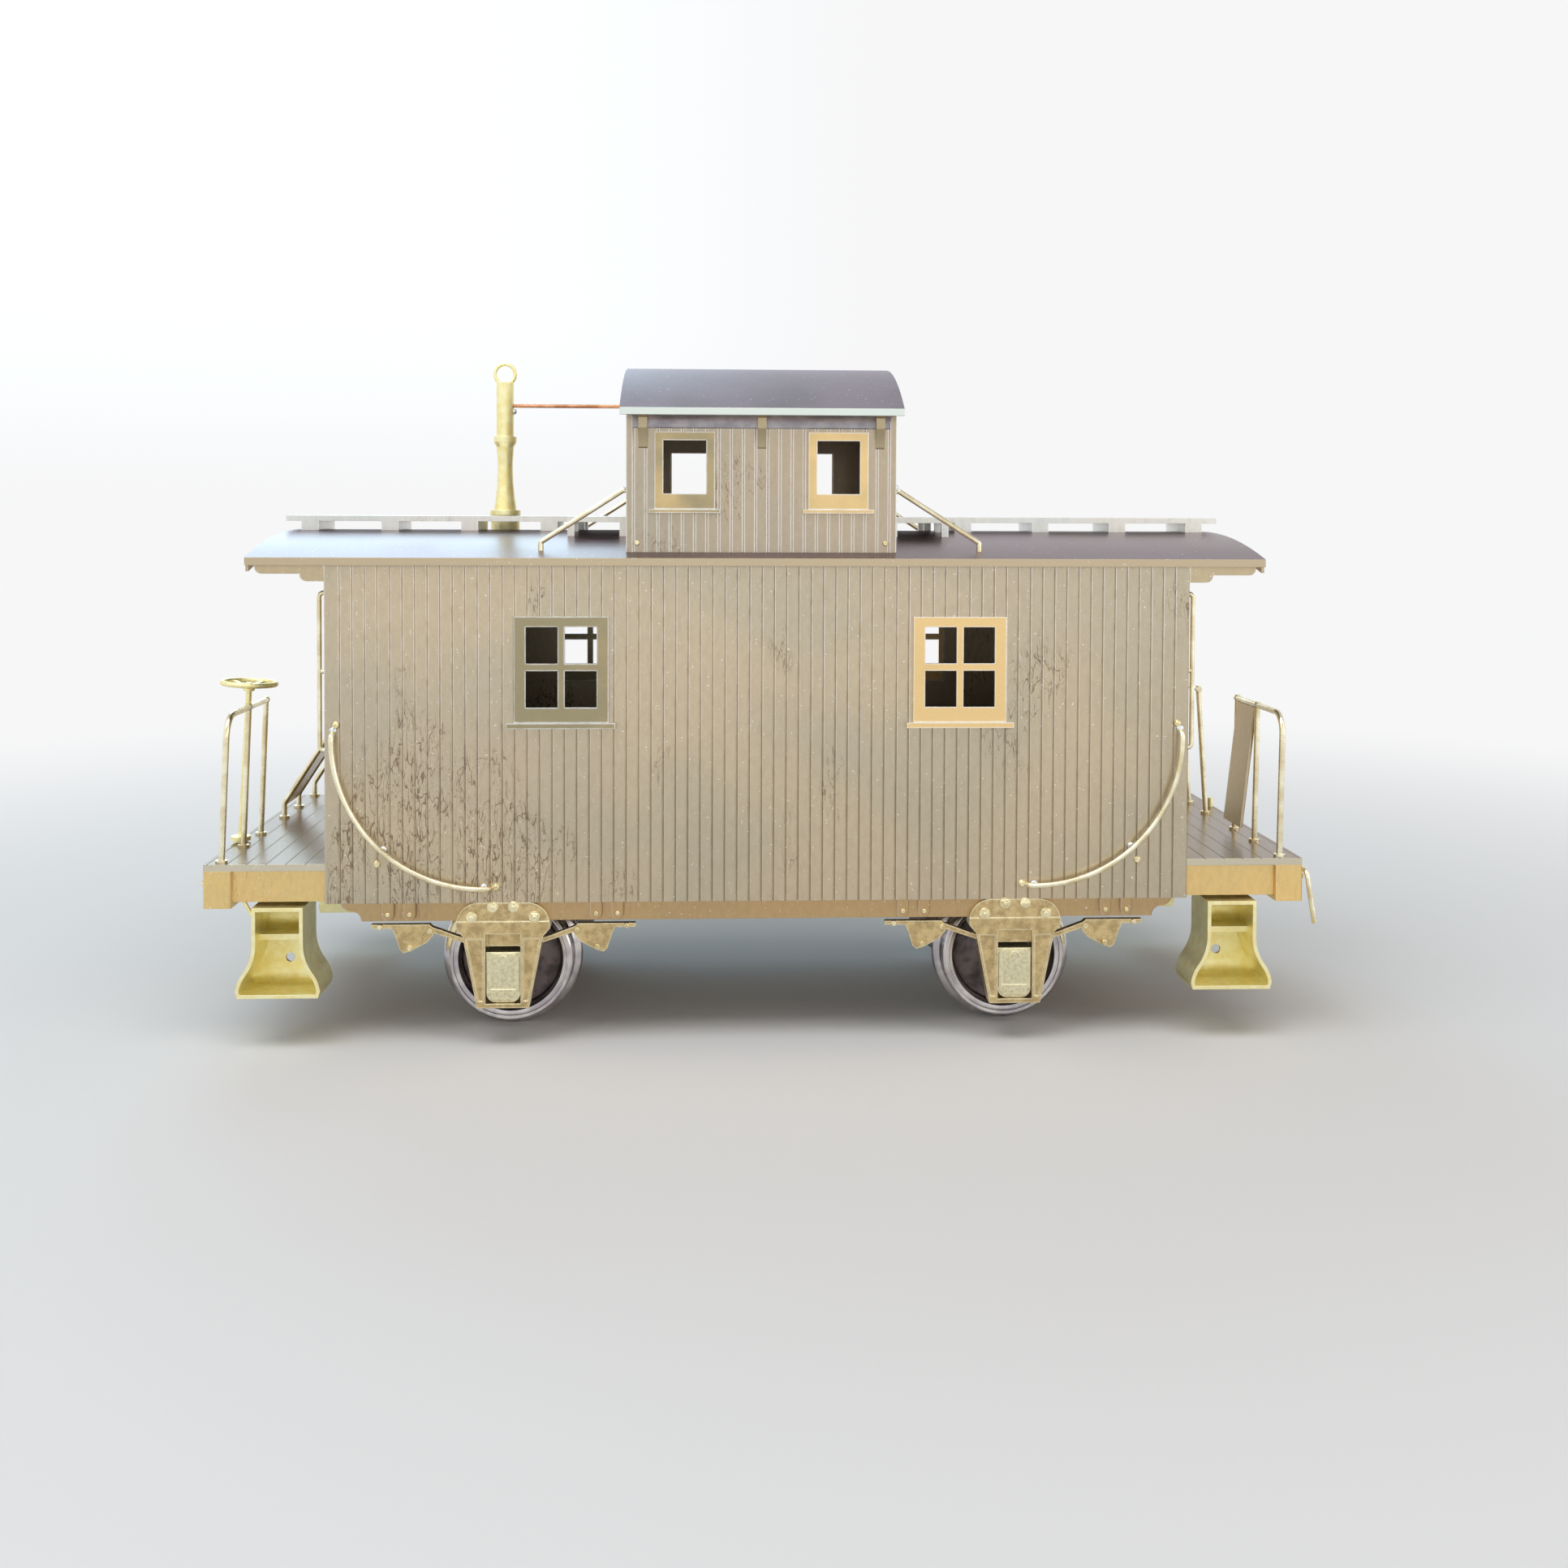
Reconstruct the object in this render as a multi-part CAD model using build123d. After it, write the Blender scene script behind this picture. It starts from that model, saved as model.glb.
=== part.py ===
"""Four-wheel caboose, a brass scale model in O scale (1:48), as separate soldered and turning pieces.

Millimetres. +X runs along the car to its right end, the front side faces -Y and +Z is up.
The origin is under the middle of the car, at the bottom of the wheel flanges.
"""

import os
from math import cos, radians, sin, sqrt

from build123d import *

# Wheels and axles
wheelbase = 69.6
tread_radius = 8.73
flange_height = 1.12
back_to_back = 29.9
flange_thickness = 1.0
flange_chamfer = 0.3
flange_tip = 0.25
wheel_width = 3.7
tread_taper = 0.12
rim_thickness = 1.5
plate_thickness = 0.9
plate_dish = 0.7
hub_radius = 3.3
hub_length = 4.3
axle_radius = 2.38
axle_seat_gap = 0.01
journal_radius = 1.2
journal_clearance = 0.05
journal_end_play = 0.3

# Floor and frame
body_length = 117.0
body_width = 54.3
wall_sheet = 0.65
platform_length = 16.1
floor_top = 25.25
floor_thickness = 0.95
board_pitch = 2.6
board_groove = 0.12
end_beam_length = 3.65
end_beam_depth = 5.0
side_sill_thickness = 1.6
side_sill_end_depth = 4.25
side_sill_mid_depth = 7.0
ogee_radius = 1.37
ogee_from_body_end = 1.9
centre_sill_width = 10.0
centre_sill_depth = 4.0
channel_sheet = 0.8
needle_beam_spacing = 24.0
needle_beam_length = 2.0
needle_beam_depth = 3.4
needle_beam_end_depth = 1.6
coupler_pad_length = 14.0
coupler_pad_width = 14.0
coupler_pad_thickness = 2.65
coupler_screw_spacing = 7.5
coupler_screw_hole = 1.85
coupler_notch_clearance = 0.2

# Straps on the side sills, in pairs outside each pedestal
strap_offsets = (12.5, 15.4)
strap_width = 1.6
strap_thickness = 0.5
strap_tip_above_sill_bottom = 0.15

# Pedestals and journal boxes
pedestal_plate_width = 12.6
pedestal_plate_corner = 3.0
pedestal_edge_drop = 1.0
pedestal_shoulder_drop = 2.0
pedestal_leg_top_width = 10.8
pedestal_foot_width = 7.0
pedestal_foot_below_axle = 4.3
pedestal_foot_thickness = 0.6
pedestal_thickness = 2.55
pedestal_block_proud = 0.15
pedestal_slot_above_axle = 5.75
pedestal_web_setback = 1.1
pedestal_web_thickness = 0.8
pedestal_web_gap = 0.6
pedestal_leg_rim = 0.35
pedestal_leg_recess = 0.2
journal_box_width = 4.6
journal_box_above_axle = 3.2
journal_box_below_axle = 3.65
journal_box_bottom_radius = 1.3
journal_box_slide_gap = 0.05
journal_box_depth = 3.0
journal_lid_thickness = 0.35
journal_lid_inset = 0.15
journal_lid_below_axle = 2.2
journal_lid_chamfer = 0.6
journal_lid_rim = 0.4
journal_lid_recess = 0.15
journal_boss_radius = 0.85
journal_boss_height = 0.2
journal_boss_above_axle = 2.0
journal_lip_width = 3.0
journal_lip_height = 0.9
journal_lip_thickness = 0.25
hanger_thickness = 1.0
hanger_setback = 0.9
hanger_gap_below_sill = 0.55
# Hanger outline from its root on the leg, as (distance from the axle, drop below the hanger's top)
hanger_root_drops = (2.6, 3.15)
hanger_outline = (
    (9.6, 0.38),
    (10.0, 0.0),
    (17.8, 0.0),
    (17.8, 0.55),
    (15.0, 0.55),
    (14.6, 1.5),
    (14.0, 3.4),
    (13.5, 3.9),
    (12.4, 3.6),
    (10.3, 2.45),
    (9.5, 1.55),
    (9.4, 1.2),
)

# End steps
step_from_platform_end = 9.8
step_top_width = 6.8
step_bottom_width = 11.3
step_plate = 0.5
step_top_gap = 0.65
step_depth = 7.6
step_proud = 0.35
step_bottom_height = 7.2
step_waist_above_bottom = 7.1
upper_tread_above_bottom = 8.1
upper_tread_setback = 2.5
upper_tread_lip = 0.8
step_cove_radius = 1.7
step_hole_radius = 0.65
step_hole_above_bottom = 3.7
step_hanger_width = 5.2
step_brace_wire = 0.25
step_brace_reach = 5.2
step_brace_drop = 3.5
step_brace_setback = 1.9

# Walls
siding_below_floor = 5.4
roof_seat_gap = 0.05
scribe_pitch = 1.65
scribe_width = 0.26
siding_corner_strip = 2.0
end_wall_corner_strip = 1.2
cupola_corner_strip = 1.0
window_spacing = 53.9
window_width = 11.1
window_height = 13.7
window_sill_above_floor = 18.95
pane_mullion = 0.95
pane_rail = 1.0
sash_border = 0.7
sash_bottom_rail = 1.95
casing_width = 0.8
casing_head = 0.6
casing_thickness = 0.35
sash_thickness = 0.6
sash_fit = 0.1
window_sill_width = 14.6
window_sill_height = 0.75
window_sill_proud = 1.0
door_width = 13.6
door_height = 37.0
door_leaf_thickness = 0.8
door_light_height = 11.0
door_stile = 2.2
door_rail = 1.9
door_panel_recess = 0.3
door_knob_radius = 0.55
end_window_offset = 16.6
end_window_width = 7.4
end_window_height = 12.0

# Main roof and what stands on it
roof_sheet = 0.6
eave_above_floor = 41.15
roof_side_overhang = 1.05
roof_end_overhang = 10.15
roof_rise = 3.45
fascia_height = 1.05
end_strip_thickness = 0.4
end_strip_depth = 1.4
bracket_thickness = 0.75
bracket_root_depth = 2.8
bracket_root_length = 3.2
bracket_arm_depth = 1.8
bracket_tip_gap = 1.0
bracket_step_radius = 0.9
walk_half_width = 5.2
walk_thickness = 0.8
walk_above_ridge = 1.25
walk_end_overhang = 0.35
walk_board_gap = 0.25
saddle_length = 2.5
saddle_pitch = 11.6
saddle_from_walk_end = 3.5
lateral_length = 8.4
lateral_width = 8.0
lateral_post = 1.0

# Cupola
cupola_length = 36.8
cupola_width = 50.4
cupola_sheet = 0.6
cupola_eave_above_roof = 20.2
cupola_rise = 7.3
cupola_roof_sheet = 0.55
cupola_side_overhang = 2.7
cupola_end_overhang = 0.75
cupola_fascia_height = 0.95
cupola_window_spacing = 20.9
cupola_window_width = 6.0
cupola_window_height = 7.4
cupola_window_below_eave = 11.6
cupola_frame_side = 1.1
cupola_frame_bottom = 2.0
cupola_frame_fit = 0.1
cupola_sill_width = 9.7
cupola_sill_height = 0.55
cupola_end_window_spacing = 22.0
roof_hatch_margin = 1.4
cove_height = 1.7
cove_hollow = 0.45
cove_end_inset = 0.9
cove_bracket_width = 1.2
cove_bracket_height = 2.7
cove_bracket_proud = 1.1
cove_bracket_hollow = 0.2
cove_bracket_spacing = 16.1

# Smokejack and its brace
jack_from_middle = 38.8
jack_off_centre = 8.7
jack_base_radius = 2.2
jack_flange_radius = 2.35
jack_flange_height = 0.8
jack_cone_radius = 1.75
jack_waist_radius = 1.15
jack_pipe_radius = 1.33
jack_collar_radius = 1.75
jack_waist_above_flange = 7.1
jack_collar_above_flange = 10.6
jack_collar_lead = 0.8
jack_collar_height = 0.8
jack_pipe_length = 9.2
jack_loop_radius = 1.55
jack_loop_wire = 0.28
brace_wire = 0.3
brace_below_jack_top = 3.6

# Wire handrails
rail_wire = 0.36
rail_stand_off = 1.3
rail_bend = 0.45
rail_foot_height = 1.1
corner_rail_radius = 20.0
corner_rail_from_body_end = 1.15
corner_rail_above_siding_bottom = 2.1
corner_rail_post_angle = 42.0
grab_iron_wire = 0.32
grab_iron_stand_off = 1.1
grab_iron_bend = 0.6
grab_iron_stub = 0.28
grab_iron_bottom_above_floor = 15.0
grab_iron_length = 21.3
grab_iron_from_corner = 2.2
cupola_rail_height = 8.2
cupola_rail_run = 11.6
cupola_rail_from_wall = 1.1

# End railings
railing_height = 19.75
railing_wire = 0.42
railing_post_wire = 0.39
railing_rail_tail = 0.7
railing_corner_radius = 2.8
railing_corner_from_side = 1.15
railing_middle_post = 15.5
railing_inner_post = 6.5
railing_post_tip = 0.5
railing_foot_radius = 0.8
railing_foot_height = 0.35
railing_knee_radius = 1.2
# Stance of each railing as (setback from the platform's end, lean inboard in degrees, height of its knee)
railing_stance = {
    ("left", "front"): (2.1, 2.5, 0.0),
    ("left", "back"): (2.2, 33.0, 2.3),
    ("right", "front"): (2.8, -0.8, 0.0),
    ("right", "back"): (3.2, 4.0, 0.0),
}
rail_plate_width = 7.6
rail_plate_height = 17.6
rail_plate_thickness = 0.4
right_plate_swing = 6.3

# Brake wheel, the stub of the other staff, and uncoupling levers
brake_staff_radius = 0.42
brake_staff_offset = 12.0
brake_staff_from_platform_end = 0.75
brake_staff_lean = 3.3
brake_stub_height = 1.5
brake_wheel_radius = 4.0
brake_wheel_rim = 0.36
brake_wheel_height = 22.1
brake_wheel_dish = 0.7
brake_spokes = 5
brake_hub_radius = 0.8
brake_spoke_width = 0.6
ratchet_radius = 1.35
ratchet_height = 0.6
ratchet_foot_radius = 0.95
ratchet_lift = 0.3
lever_wire = 0.34
lever_from_beam = 0.75
lever_inner_end = 7.0
lever_below_floor = 0.9
lever_drop = 7.2
lever_flare = 1.1
lever_splay = 0.3
lever_bend = 1.0
lever_bracket_places = (9.0, 24.0)

# Places worked out from the sizes above
axle_height = tread_radius + flange_height
half_body = body_length / 2
half_width = body_width / 2
wall_inside = half_width - wall_sheet
floor_bottom = floor_top - floor_thickness
platform_end = half_body + platform_length
beam_inside = platform_end - end_beam_length
siding_bottom = floor_top - siding_below_floor
sill_bottom = floor_bottom - side_sill_mid_depth
roof_half_width = half_width + roof_side_overhang
eave_height = floor_top + eave_above_floor
ridge_height = eave_height + roof_rise
roof_radius = (roof_half_width**2 + roof_rise**2) / (2 * roof_rise)
roof_half_length = half_body + roof_end_overhang
cupola_half_width = cupola_width / 2
cupola_half_length = cupola_length / 2
cupola_roof_half_width = cupola_half_width + cupola_side_overhang
cupola_eave = eave_height + cupola_eave_above_roof
cupola_ridge = cupola_eave + cupola_rise
cupola_radius = (cupola_roof_half_width**2 + cupola_rise**2) / (2 * cupola_rise)
walk_bottom = ridge_height + walk_above_ridge
walk_top = walk_bottom + walk_thickness
step_centre = platform_end - step_from_platform_end


def arch_height(crown, radius, y):
    """Height of an arched sheet at the distance y from the centre line."""
    return crown - radius + sqrt(radius**2 - y**2)


wall_top = arch_height(ridge_height - roof_sheet, roof_radius - roof_sheet, half_width) - roof_seat_gap
cupola_wall_top = (
    arch_height(cupola_ridge - cupola_roof_sheet, cupola_radius - cupola_roof_sheet, cupola_half_width)
    - roof_seat_gap
)


def box_between(x0, x1, y0, y1, z0, z1):
    """A block between two opposite corners."""
    return Pos((x0 + x1) / 2, (y0 + y1) / 2, (z0 + z1) / 2) * Box(abs(x1 - x0), abs(y1 - y0), abs(z1 - z0))


def rod(radius, start, end):
    """A round rod from one point to another."""
    line = Line(start, end)
    return sweep(Plane(origin=line @ 0, z_dir=line % 0) * Circle(radius), path=line)


def bent_wire(radius, points, bends):
    """A round wire along straight runs with a bend at each corner."""
    path = FilletPolyline(*points, radius=bends)
    return sweep(Plane(origin=path @ 0, z_dir=path % 0) * Circle(radius), path=path)


def front_plate(face, front, thickness):
    """A face drawn in the XZ plane, made a plate whose outer side is at y = -front."""
    return Pos(0, -front + thickness, 0) * extrude(Plane.XZ * face, amount=thickness)


def end_plate(face, outside, thickness):
    """A face drawn in the YZ plane, made a plate whose outer side is at x = outside."""
    return Pos(outside - thickness, 0, 0) * extrude(Plane.YZ * face, amount=thickness)


def rectangle_between(a0, a1, b0, b1):
    """A flat rectangle between two opposite corners of its sketch."""
    return Pos((a0 + a1) / 2, (b0 + b1) / 2) * Rectangle(abs(a1 - a0), abs(b1 - b0))


def at_end(shape, end):
    """A piece modelled at the right end, mirrored for the left end."""
    return mirror(shape, about=Plane.YZ) if end == "left" else shape


def on_side(shape, side):
    """A piece modelled on the front side, mirrored for the back."""
    return mirror(shape, about=Plane.XZ) if side == "back" else shape


def turned(shape):
    """A piece repeated diagonally opposite, half a turn about the middle of the car."""
    return Rot(0, 0, 180) * shape


def group(*solids):
    """Like pieces that share one node and do not touch."""
    return Compound([solid for shape in solids for solid in shape.solids()])


def four_corners(shape):
    """A piece modelled at the right front corner, repeated at all four corners."""
    front = [at_end(shape, end) for end in ("left", "right")]
    return group(*(on_side(piece, side) for piece in front for side in ("front", "back")))


def wheel():
    """Cast wheel about the Y axis, centred on the origin, its back face at half the back-to-back size."""
    back = back_to_back / 2
    face = back + wheel_width
    root = back + flange_thickness
    flange = tread_radius + flange_height
    rim_inside = tread_radius - rim_thickness
    plate_back = back + plate_dish
    hub_back = back + wheel_width / 2 - hub_length / 2
    bore = axle_radius + axle_seat_gap
    outline = Polyline(
        (bore, hub_back),
        (hub_radius, hub_back),
        (hub_radius, plate_back + plate_dish),
        (rim_inside, plate_back),
        (rim_inside, back),
        (flange - flange_chamfer, back),
        (flange, back + flange_chamfer),
        (flange, back + flange_chamfer + flange_tip),
        (tread_radius, root),
        (tread_radius - tread_taper, face),
        (rim_inside, face),
        (rim_inside, plate_back + plate_thickness),
        (hub_radius, plate_back + plate_dish + plate_thickness),
        (hub_radius, hub_back + hub_length),
        (bore, hub_back + hub_length),
        (bore, hub_back),
    )
    return revolve(make_face(outline), axis=Axis.Y)


def axle():
    """Turned axle with a reduced journal at each end."""
    shoulder = back_to_back / 2 + wheel_width / 2 + hub_length / 2
    tip = half_width - journal_lid_thickness - journal_end_play - wall_sheet
    outline = Polyline(
        (0, -tip),
        (journal_radius, -tip),
        (journal_radius, -shoulder),
        (axle_radius, -shoulder),
        (axle_radius, shoulder),
        (journal_radius, shoulder),
        (journal_radius, tip),
        (0, tip),
        (0, -tip),
    )
    return revolve(make_face(outline), axis=Axis.Y)


def floor_deck():
    """One floor sheet, narrower between the walls, scribed into boards on the platforms."""
    outline = Rectangle(2 * platform_end, body_width)
    for side in (-1, 1):
        outline -= rectangle_between(-half_body, half_body, side * wall_inside, side * half_width)
    deck = Pos(0, 0, floor_bottom) * extrude(outline, amount=floor_thickness)
    boards = int((platform_length - board_groove) / board_pitch)
    for number in range(1, boards + 1):
        x = half_body + number * board_pitch
        for place in (-x, x):
            groove = Box(board_groove, body_width, 2 * board_groove)
            deck -= Pos(place, 0, floor_top) * groove
    return deck


def side_sill():
    """Front side sill, deeper between ogee ends, with the pairs of straps on its outer face."""
    end_bottom = floor_bottom - side_sill_end_depth
    ogee_top = half_body - ogee_from_body_end
    drop = (end_bottom - sill_bottom) / 2
    middle = ogee_top - ogee_radius
    bottom = middle - ogee_radius
    k = sqrt(0.5)
    half = Polyline((0, floor_bottom), (beam_inside, floor_bottom), (beam_inside, end_bottom),
                    (ogee_top, end_bottom))
    half += ThreePointArc((ogee_top, end_bottom),
                          (middle + ogee_radius * k, end_bottom - drop * k),
                          (middle, end_bottom - drop))
    half += ThreePointArc((middle, end_bottom - drop),
                          (middle - ogee_radius * k, sill_bottom + drop * k),
                          (bottom, sill_bottom))
    half += Polyline((bottom, sill_bottom), (0, sill_bottom), (0, floor_bottom))
    face = make_face(half)
    sill = front_plate(face + mirror(face, about=Plane.YZ), wall_inside, side_sill_thickness)
    radius = strap_width / 2
    tip_centre = sill_bottom + strap_tip_above_sill_bottom + radius
    strap = rectangle_between(-radius, radius, tip_centre, siding_bottom)
    strap += Pos(0, tip_centre) * Circle(radius)
    for axle_x in (-wheelbase / 2, wheelbase / 2):
        for offset in strap_offsets:
            for place in (axle_x - offset, axle_x + offset):
                sill += front_plate(Pos(place, 0) * strap, wall_inside + strap_thickness, strap_thickness)
    return sill


def end_beam():
    """Right end beam with the notch that a coupler passes through."""
    beam = box_between(beam_inside, platform_end, -half_width, half_width,
                       floor_bottom - end_beam_depth, floor_bottom)
    notch = coupler_pad_width / 2 + coupler_notch_clearance
    return beam - box_between(beam_inside, platform_end, -notch, notch,
                              floor_bottom - end_beam_depth, floor_bottom - coupler_pad_thickness)


def coupler_pad():
    """Pad at the right end that a coupler box screws up against, with its two screw holes."""
    half = coupler_pad_width / 2
    pad = box_between(beam_inside - coupler_pad_length, beam_inside, -half, half,
                      floor_bottom - coupler_pad_thickness, floor_bottom)
    middle = beam_inside - coupler_pad_length / 2
    for place in (-coupler_screw_spacing / 2, coupler_screw_spacing / 2):
        pad -= Pos(middle + place, 0, floor_bottom) * Cylinder(
            coupler_screw_hole / 2, 2 * coupler_pad_thickness
        )
    return pad


def needle_beam():
    """Cross beam under the floor between the side sills, shallower towards its ends."""
    end = wall_inside - side_sill_thickness
    inner = centre_sill_width / 2
    outline = Polyline(
        (inner, floor_bottom),
        (end, floor_bottom),
        (end, floor_bottom - needle_beam_end_depth),
        (inner, floor_bottom - needle_beam_depth),
        (inner, floor_bottom),
    )
    face = make_face(outline)
    beam = extrude(Plane.YZ * face, amount=needle_beam_length / 2, both=True)
    return beam + mirror(beam, about=Plane.XZ)


def centre_sill():
    """Folded channel under the floor with two needle beams and a coupler pad at each end."""
    half = centre_sill_width / 2
    inner = half - channel_sheet
    bottom = floor_bottom - centre_sill_depth
    end = beam_inside - coupler_pad_length
    sill = box_between(-end, end, -half, half, bottom, floor_bottom)
    sill -= box_between(-end, end, -inner, inner, bottom + channel_sheet, floor_bottom)
    for place in (-needle_beam_spacing / 2, needle_beam_spacing / 2):
        sill += Pos(place, 0, 0) * needle_beam()
    return sill + coupler_pad() + mirror(coupler_pad(), about=Plane.YZ)


def spring_hanger():
    """Outline of the hanger plate and arm beside a pedestal, measured from the axle, tip downwards."""
    top = sill_bottom - hanger_gap_below_sill
    root = pedestal_foot_width / 2
    upper, lower = hanger_root_drops
    points = [(out, top - drop) for out, drop in hanger_outline]
    return make_face(Polyline((root, top - upper), *points, (root, top - lower), (root, top - upper)))


def pedestal():
    """Pedestal casting under the front sill: plate, two legs, web, foot and a hanger on either side."""
    plate = pedestal_plate_width / 2
    leg = pedestal_leg_top_width / 2
    foot = pedestal_foot_width / 2
    foot_bottom = axle_height - pedestal_foot_below_axle
    edge = sill_bottom - pedestal_edge_drop
    shoulder = sill_bottom - pedestal_shoulder_drop
    outline = make_face(Polyline(
        (-plate, edge), (-plate, siding_bottom), (plate, siding_bottom), (plate, edge),
        (leg, shoulder), (foot, foot_bottom), (-foot, foot_bottom), (-leg, shoulder), (-plate, edge),
    ))
    outline = fillet(outline.vertices().sort_by(Axis.Y)[-2:], pedestal_plate_corner)
    slot = journal_box_width / 2 + journal_box_slide_gap
    slot_bottom = foot_bottom + pedestal_foot_thickness
    recess = offset(outline & rectangle_between(slot, plate, slot_bottom, shoulder), amount=-pedestal_leg_rim)
    outline -= rectangle_between(-slot, slot, slot_bottom, axle_height + pedestal_slot_above_axle)
    front = half_width + pedestal_block_proud
    casting = front_plate(outline, half_width, wall_sheet)
    lower = outline & rectangle_between(-plate, plate, foot_bottom, sill_bottom)
    casting += front_plate(lower, front, pedestal_thickness)
    for sunk in (recess, mirror(recess, about=Plane.YZ)):
        casting -= front_plate(sunk, front, pedestal_leg_recess)
    web = rectangle_between(-slot, slot, axle_height + journal_box_above_axle + pedestal_web_gap,
                            axle_height + pedestal_slot_above_axle)
    casting += front_plate(web, half_width - pedestal_web_setback, pedestal_web_thickness)
    hanger = front_plate(spring_hanger(), half_width - hanger_setback, hanger_thickness)
    casting += hanger + mirror(hanger, about=Plane.YZ)
    return Pos(wheelbase / 2, 0, 0) * casting


def journal_box():
    """Journal box in the pedestal slot, bored from behind, with a sunk lid, its boss and a lip below."""
    half = journal_box_width / 2
    low = axle_height - journal_box_below_axle
    high = axle_height + journal_box_above_axle
    outline = rectangle_between(-half, half, low, high)
    outline = fillet(outline.vertices().sort_by(Axis.Y)[:2], journal_box_bottom_radius)
    front = half_width - journal_lid_thickness
    box = front_plate(outline, front, journal_box_depth)
    lid_half = half - journal_lid_inset
    lid_low = axle_height - journal_lid_below_axle
    lid = rectangle_between(-lid_half, lid_half, lid_low, high - journal_lid_inset)
    lid = chamfer(lid.vertices().sort_by(Axis.Y)[-2:], journal_lid_chamfer)
    box += front_plate(lid, half_width, journal_lid_thickness)
    box -= front_plate(offset(lid, amount=-journal_lid_rim), half_width, journal_lid_recess)
    boss = Pos(0, axle_height + journal_boss_above_axle) * Circle(journal_boss_radius)
    box += front_plate(boss, half_width + journal_boss_height, journal_boss_height + journal_lid_recess)
    lip = rectangle_between(-journal_lip_width / 2, journal_lip_width / 2, lid_low - journal_lip_height, lid_low)
    box += front_plate(lip, front + journal_lip_thickness, journal_lip_thickness)
    bore_end = half_width - journal_lid_thickness - wall_sheet
    bore = Circle(journal_radius + journal_clearance)
    box -= front_plate(Pos(0, axle_height) * bore, bore_end, journal_box_depth)
    return Pos(wheelbase / 2, 0, 0) * box


def step_outline():
    """Front outline of an end step, straight above and flared like a bell below."""
    top = floor_bottom - side_sill_end_depth - step_top_gap
    waist = step_bottom_height + step_waist_above_bottom
    knee = (step_bottom_height + waist) / 2
    a = step_top_width / 2
    b = step_bottom_width / 2
    m = (a + b) / 2
    bulge = (b - a) / 4
    rise = (waist - step_bottom_height) / 4
    half = Polyline((0, top), (a, top), (a, waist))
    half += ThreePointArc((a, waist), (a + bulge / 2, knee + rise), (m, knee))
    half += ThreePointArc((m, knee), (b - bulge / 3, knee - rise), (b, step_bottom_height + rise / 2))
    half += Polyline((b, step_bottom_height + rise / 2), (b - bulge / 2, step_bottom_height),
                     (0, step_bottom_height), (0, top))
    face = make_face(half)
    return face + mirror(face, about=Plane.YZ)


def step_cove(riser, tread):
    """Hollow fillet between a step's back plate at y = -riser and the tread at its foot."""
    reach = step_cove_radius
    hollow = reach * (1 - sqrt(0.5))
    corner = Polyline((-riser - reach, tread), (-riser, tread), (-riser, tread + reach))
    corner += ThreePointArc((-riser, tread + reach), (-riser - hollow, tread + hollow), (-riser - reach, tread))
    return extrude(Plane.YZ * make_face(corner), amount=step_bottom_width / 2, both=True)


def step(braced):
    """Right front end step: bell-shaped frame, holed back plate, treads with hollow risers, hanger tab."""
    outline = step_outline()
    inside = offset(outline, amount=-step_plate)
    front = half_width + step_proud
    back = front - step_depth
    casting = front_plate(outline - inside, front, step_depth)
    hole = Pos(0, step_bottom_height + step_hole_above_bottom) * Circle(step_hole_radius)
    casting += front_plate(outline - hole, back + step_plate, step_plate)
    tread_top = step_bottom_height + upper_tread_above_bottom
    half = step_top_width / 2 - step_plate / 2
    casting += box_between(-half, half, -(front - upper_tread_setback), -(back + step_plate / 2),
                           tread_top - step_plate, tread_top)
    lip = front - upper_tread_setback
    casting += box_between(-half, half, -lip, -(lip - step_plate), tread_top - upper_tread_lip, tread_top)
    for tread in (step_bottom_height + step_plate, tread_top):
        casting += step_cove(back + step_plate, tread) & front_plate(outline, front, step_depth)
    hanger = step_hanger_width / 2
    under_sill = floor_bottom - side_sill_end_depth
    casting += box_between(-hanger, hanger, -(back + step_plate), -back, under_sill - step_top_gap, floor_bottom)
    if braced:
        y = step_brace_setback - half_width
        brace = rod(step_brace_wire, (step_brace_reach, y, under_sill + step_brace_wire),
                    (half, y, under_sill - step_brace_drop))
        casting += brace - box_between(half, 2 * step_brace_reach, 2 * y, 0, under_sill, floor_top)
    return Pos(step_centre, 0, 0) * casting


def scribe_places(half, corner):
    """Places of the scribed lines from one plain corner strip to the other, evenly spread."""
    span = half - corner
    boards = round(2 * span / scribe_pitch)
    return [2 * span * number / boards - span for number in range(boards + 1)]


def scribe(bottom, top):
    """Cutter of one V groove, upright, its middle set on a wall's outer face."""
    side = scribe_width * sqrt(0.5)
    return Pos(0, 0, (bottom + top) / 2) * Rot(0, 0, 45) * Box(side, side, top - bottom + scribe_width)


def siding():
    """Front wall, one sheet scribed as boards, with its two window openings."""
    wall = rectangle_between(-half_body, half_body, siding_bottom, wall_top)
    sill = floor_top + window_sill_above_floor
    for centre in (-window_spacing / 2, window_spacing / 2):
        wall -= rectangle_between(centre - window_width / 2, centre + window_width / 2,
                                  sill, sill + window_height)
    groove = scribe(siding_bottom, wall_top)
    grooves = [Pos(x, -half_width, 0) * groove for x in scribe_places(half_body, siding_corner_strip)]
    return front_plate(wall, half_width, wall_sheet) - grooves


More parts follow.
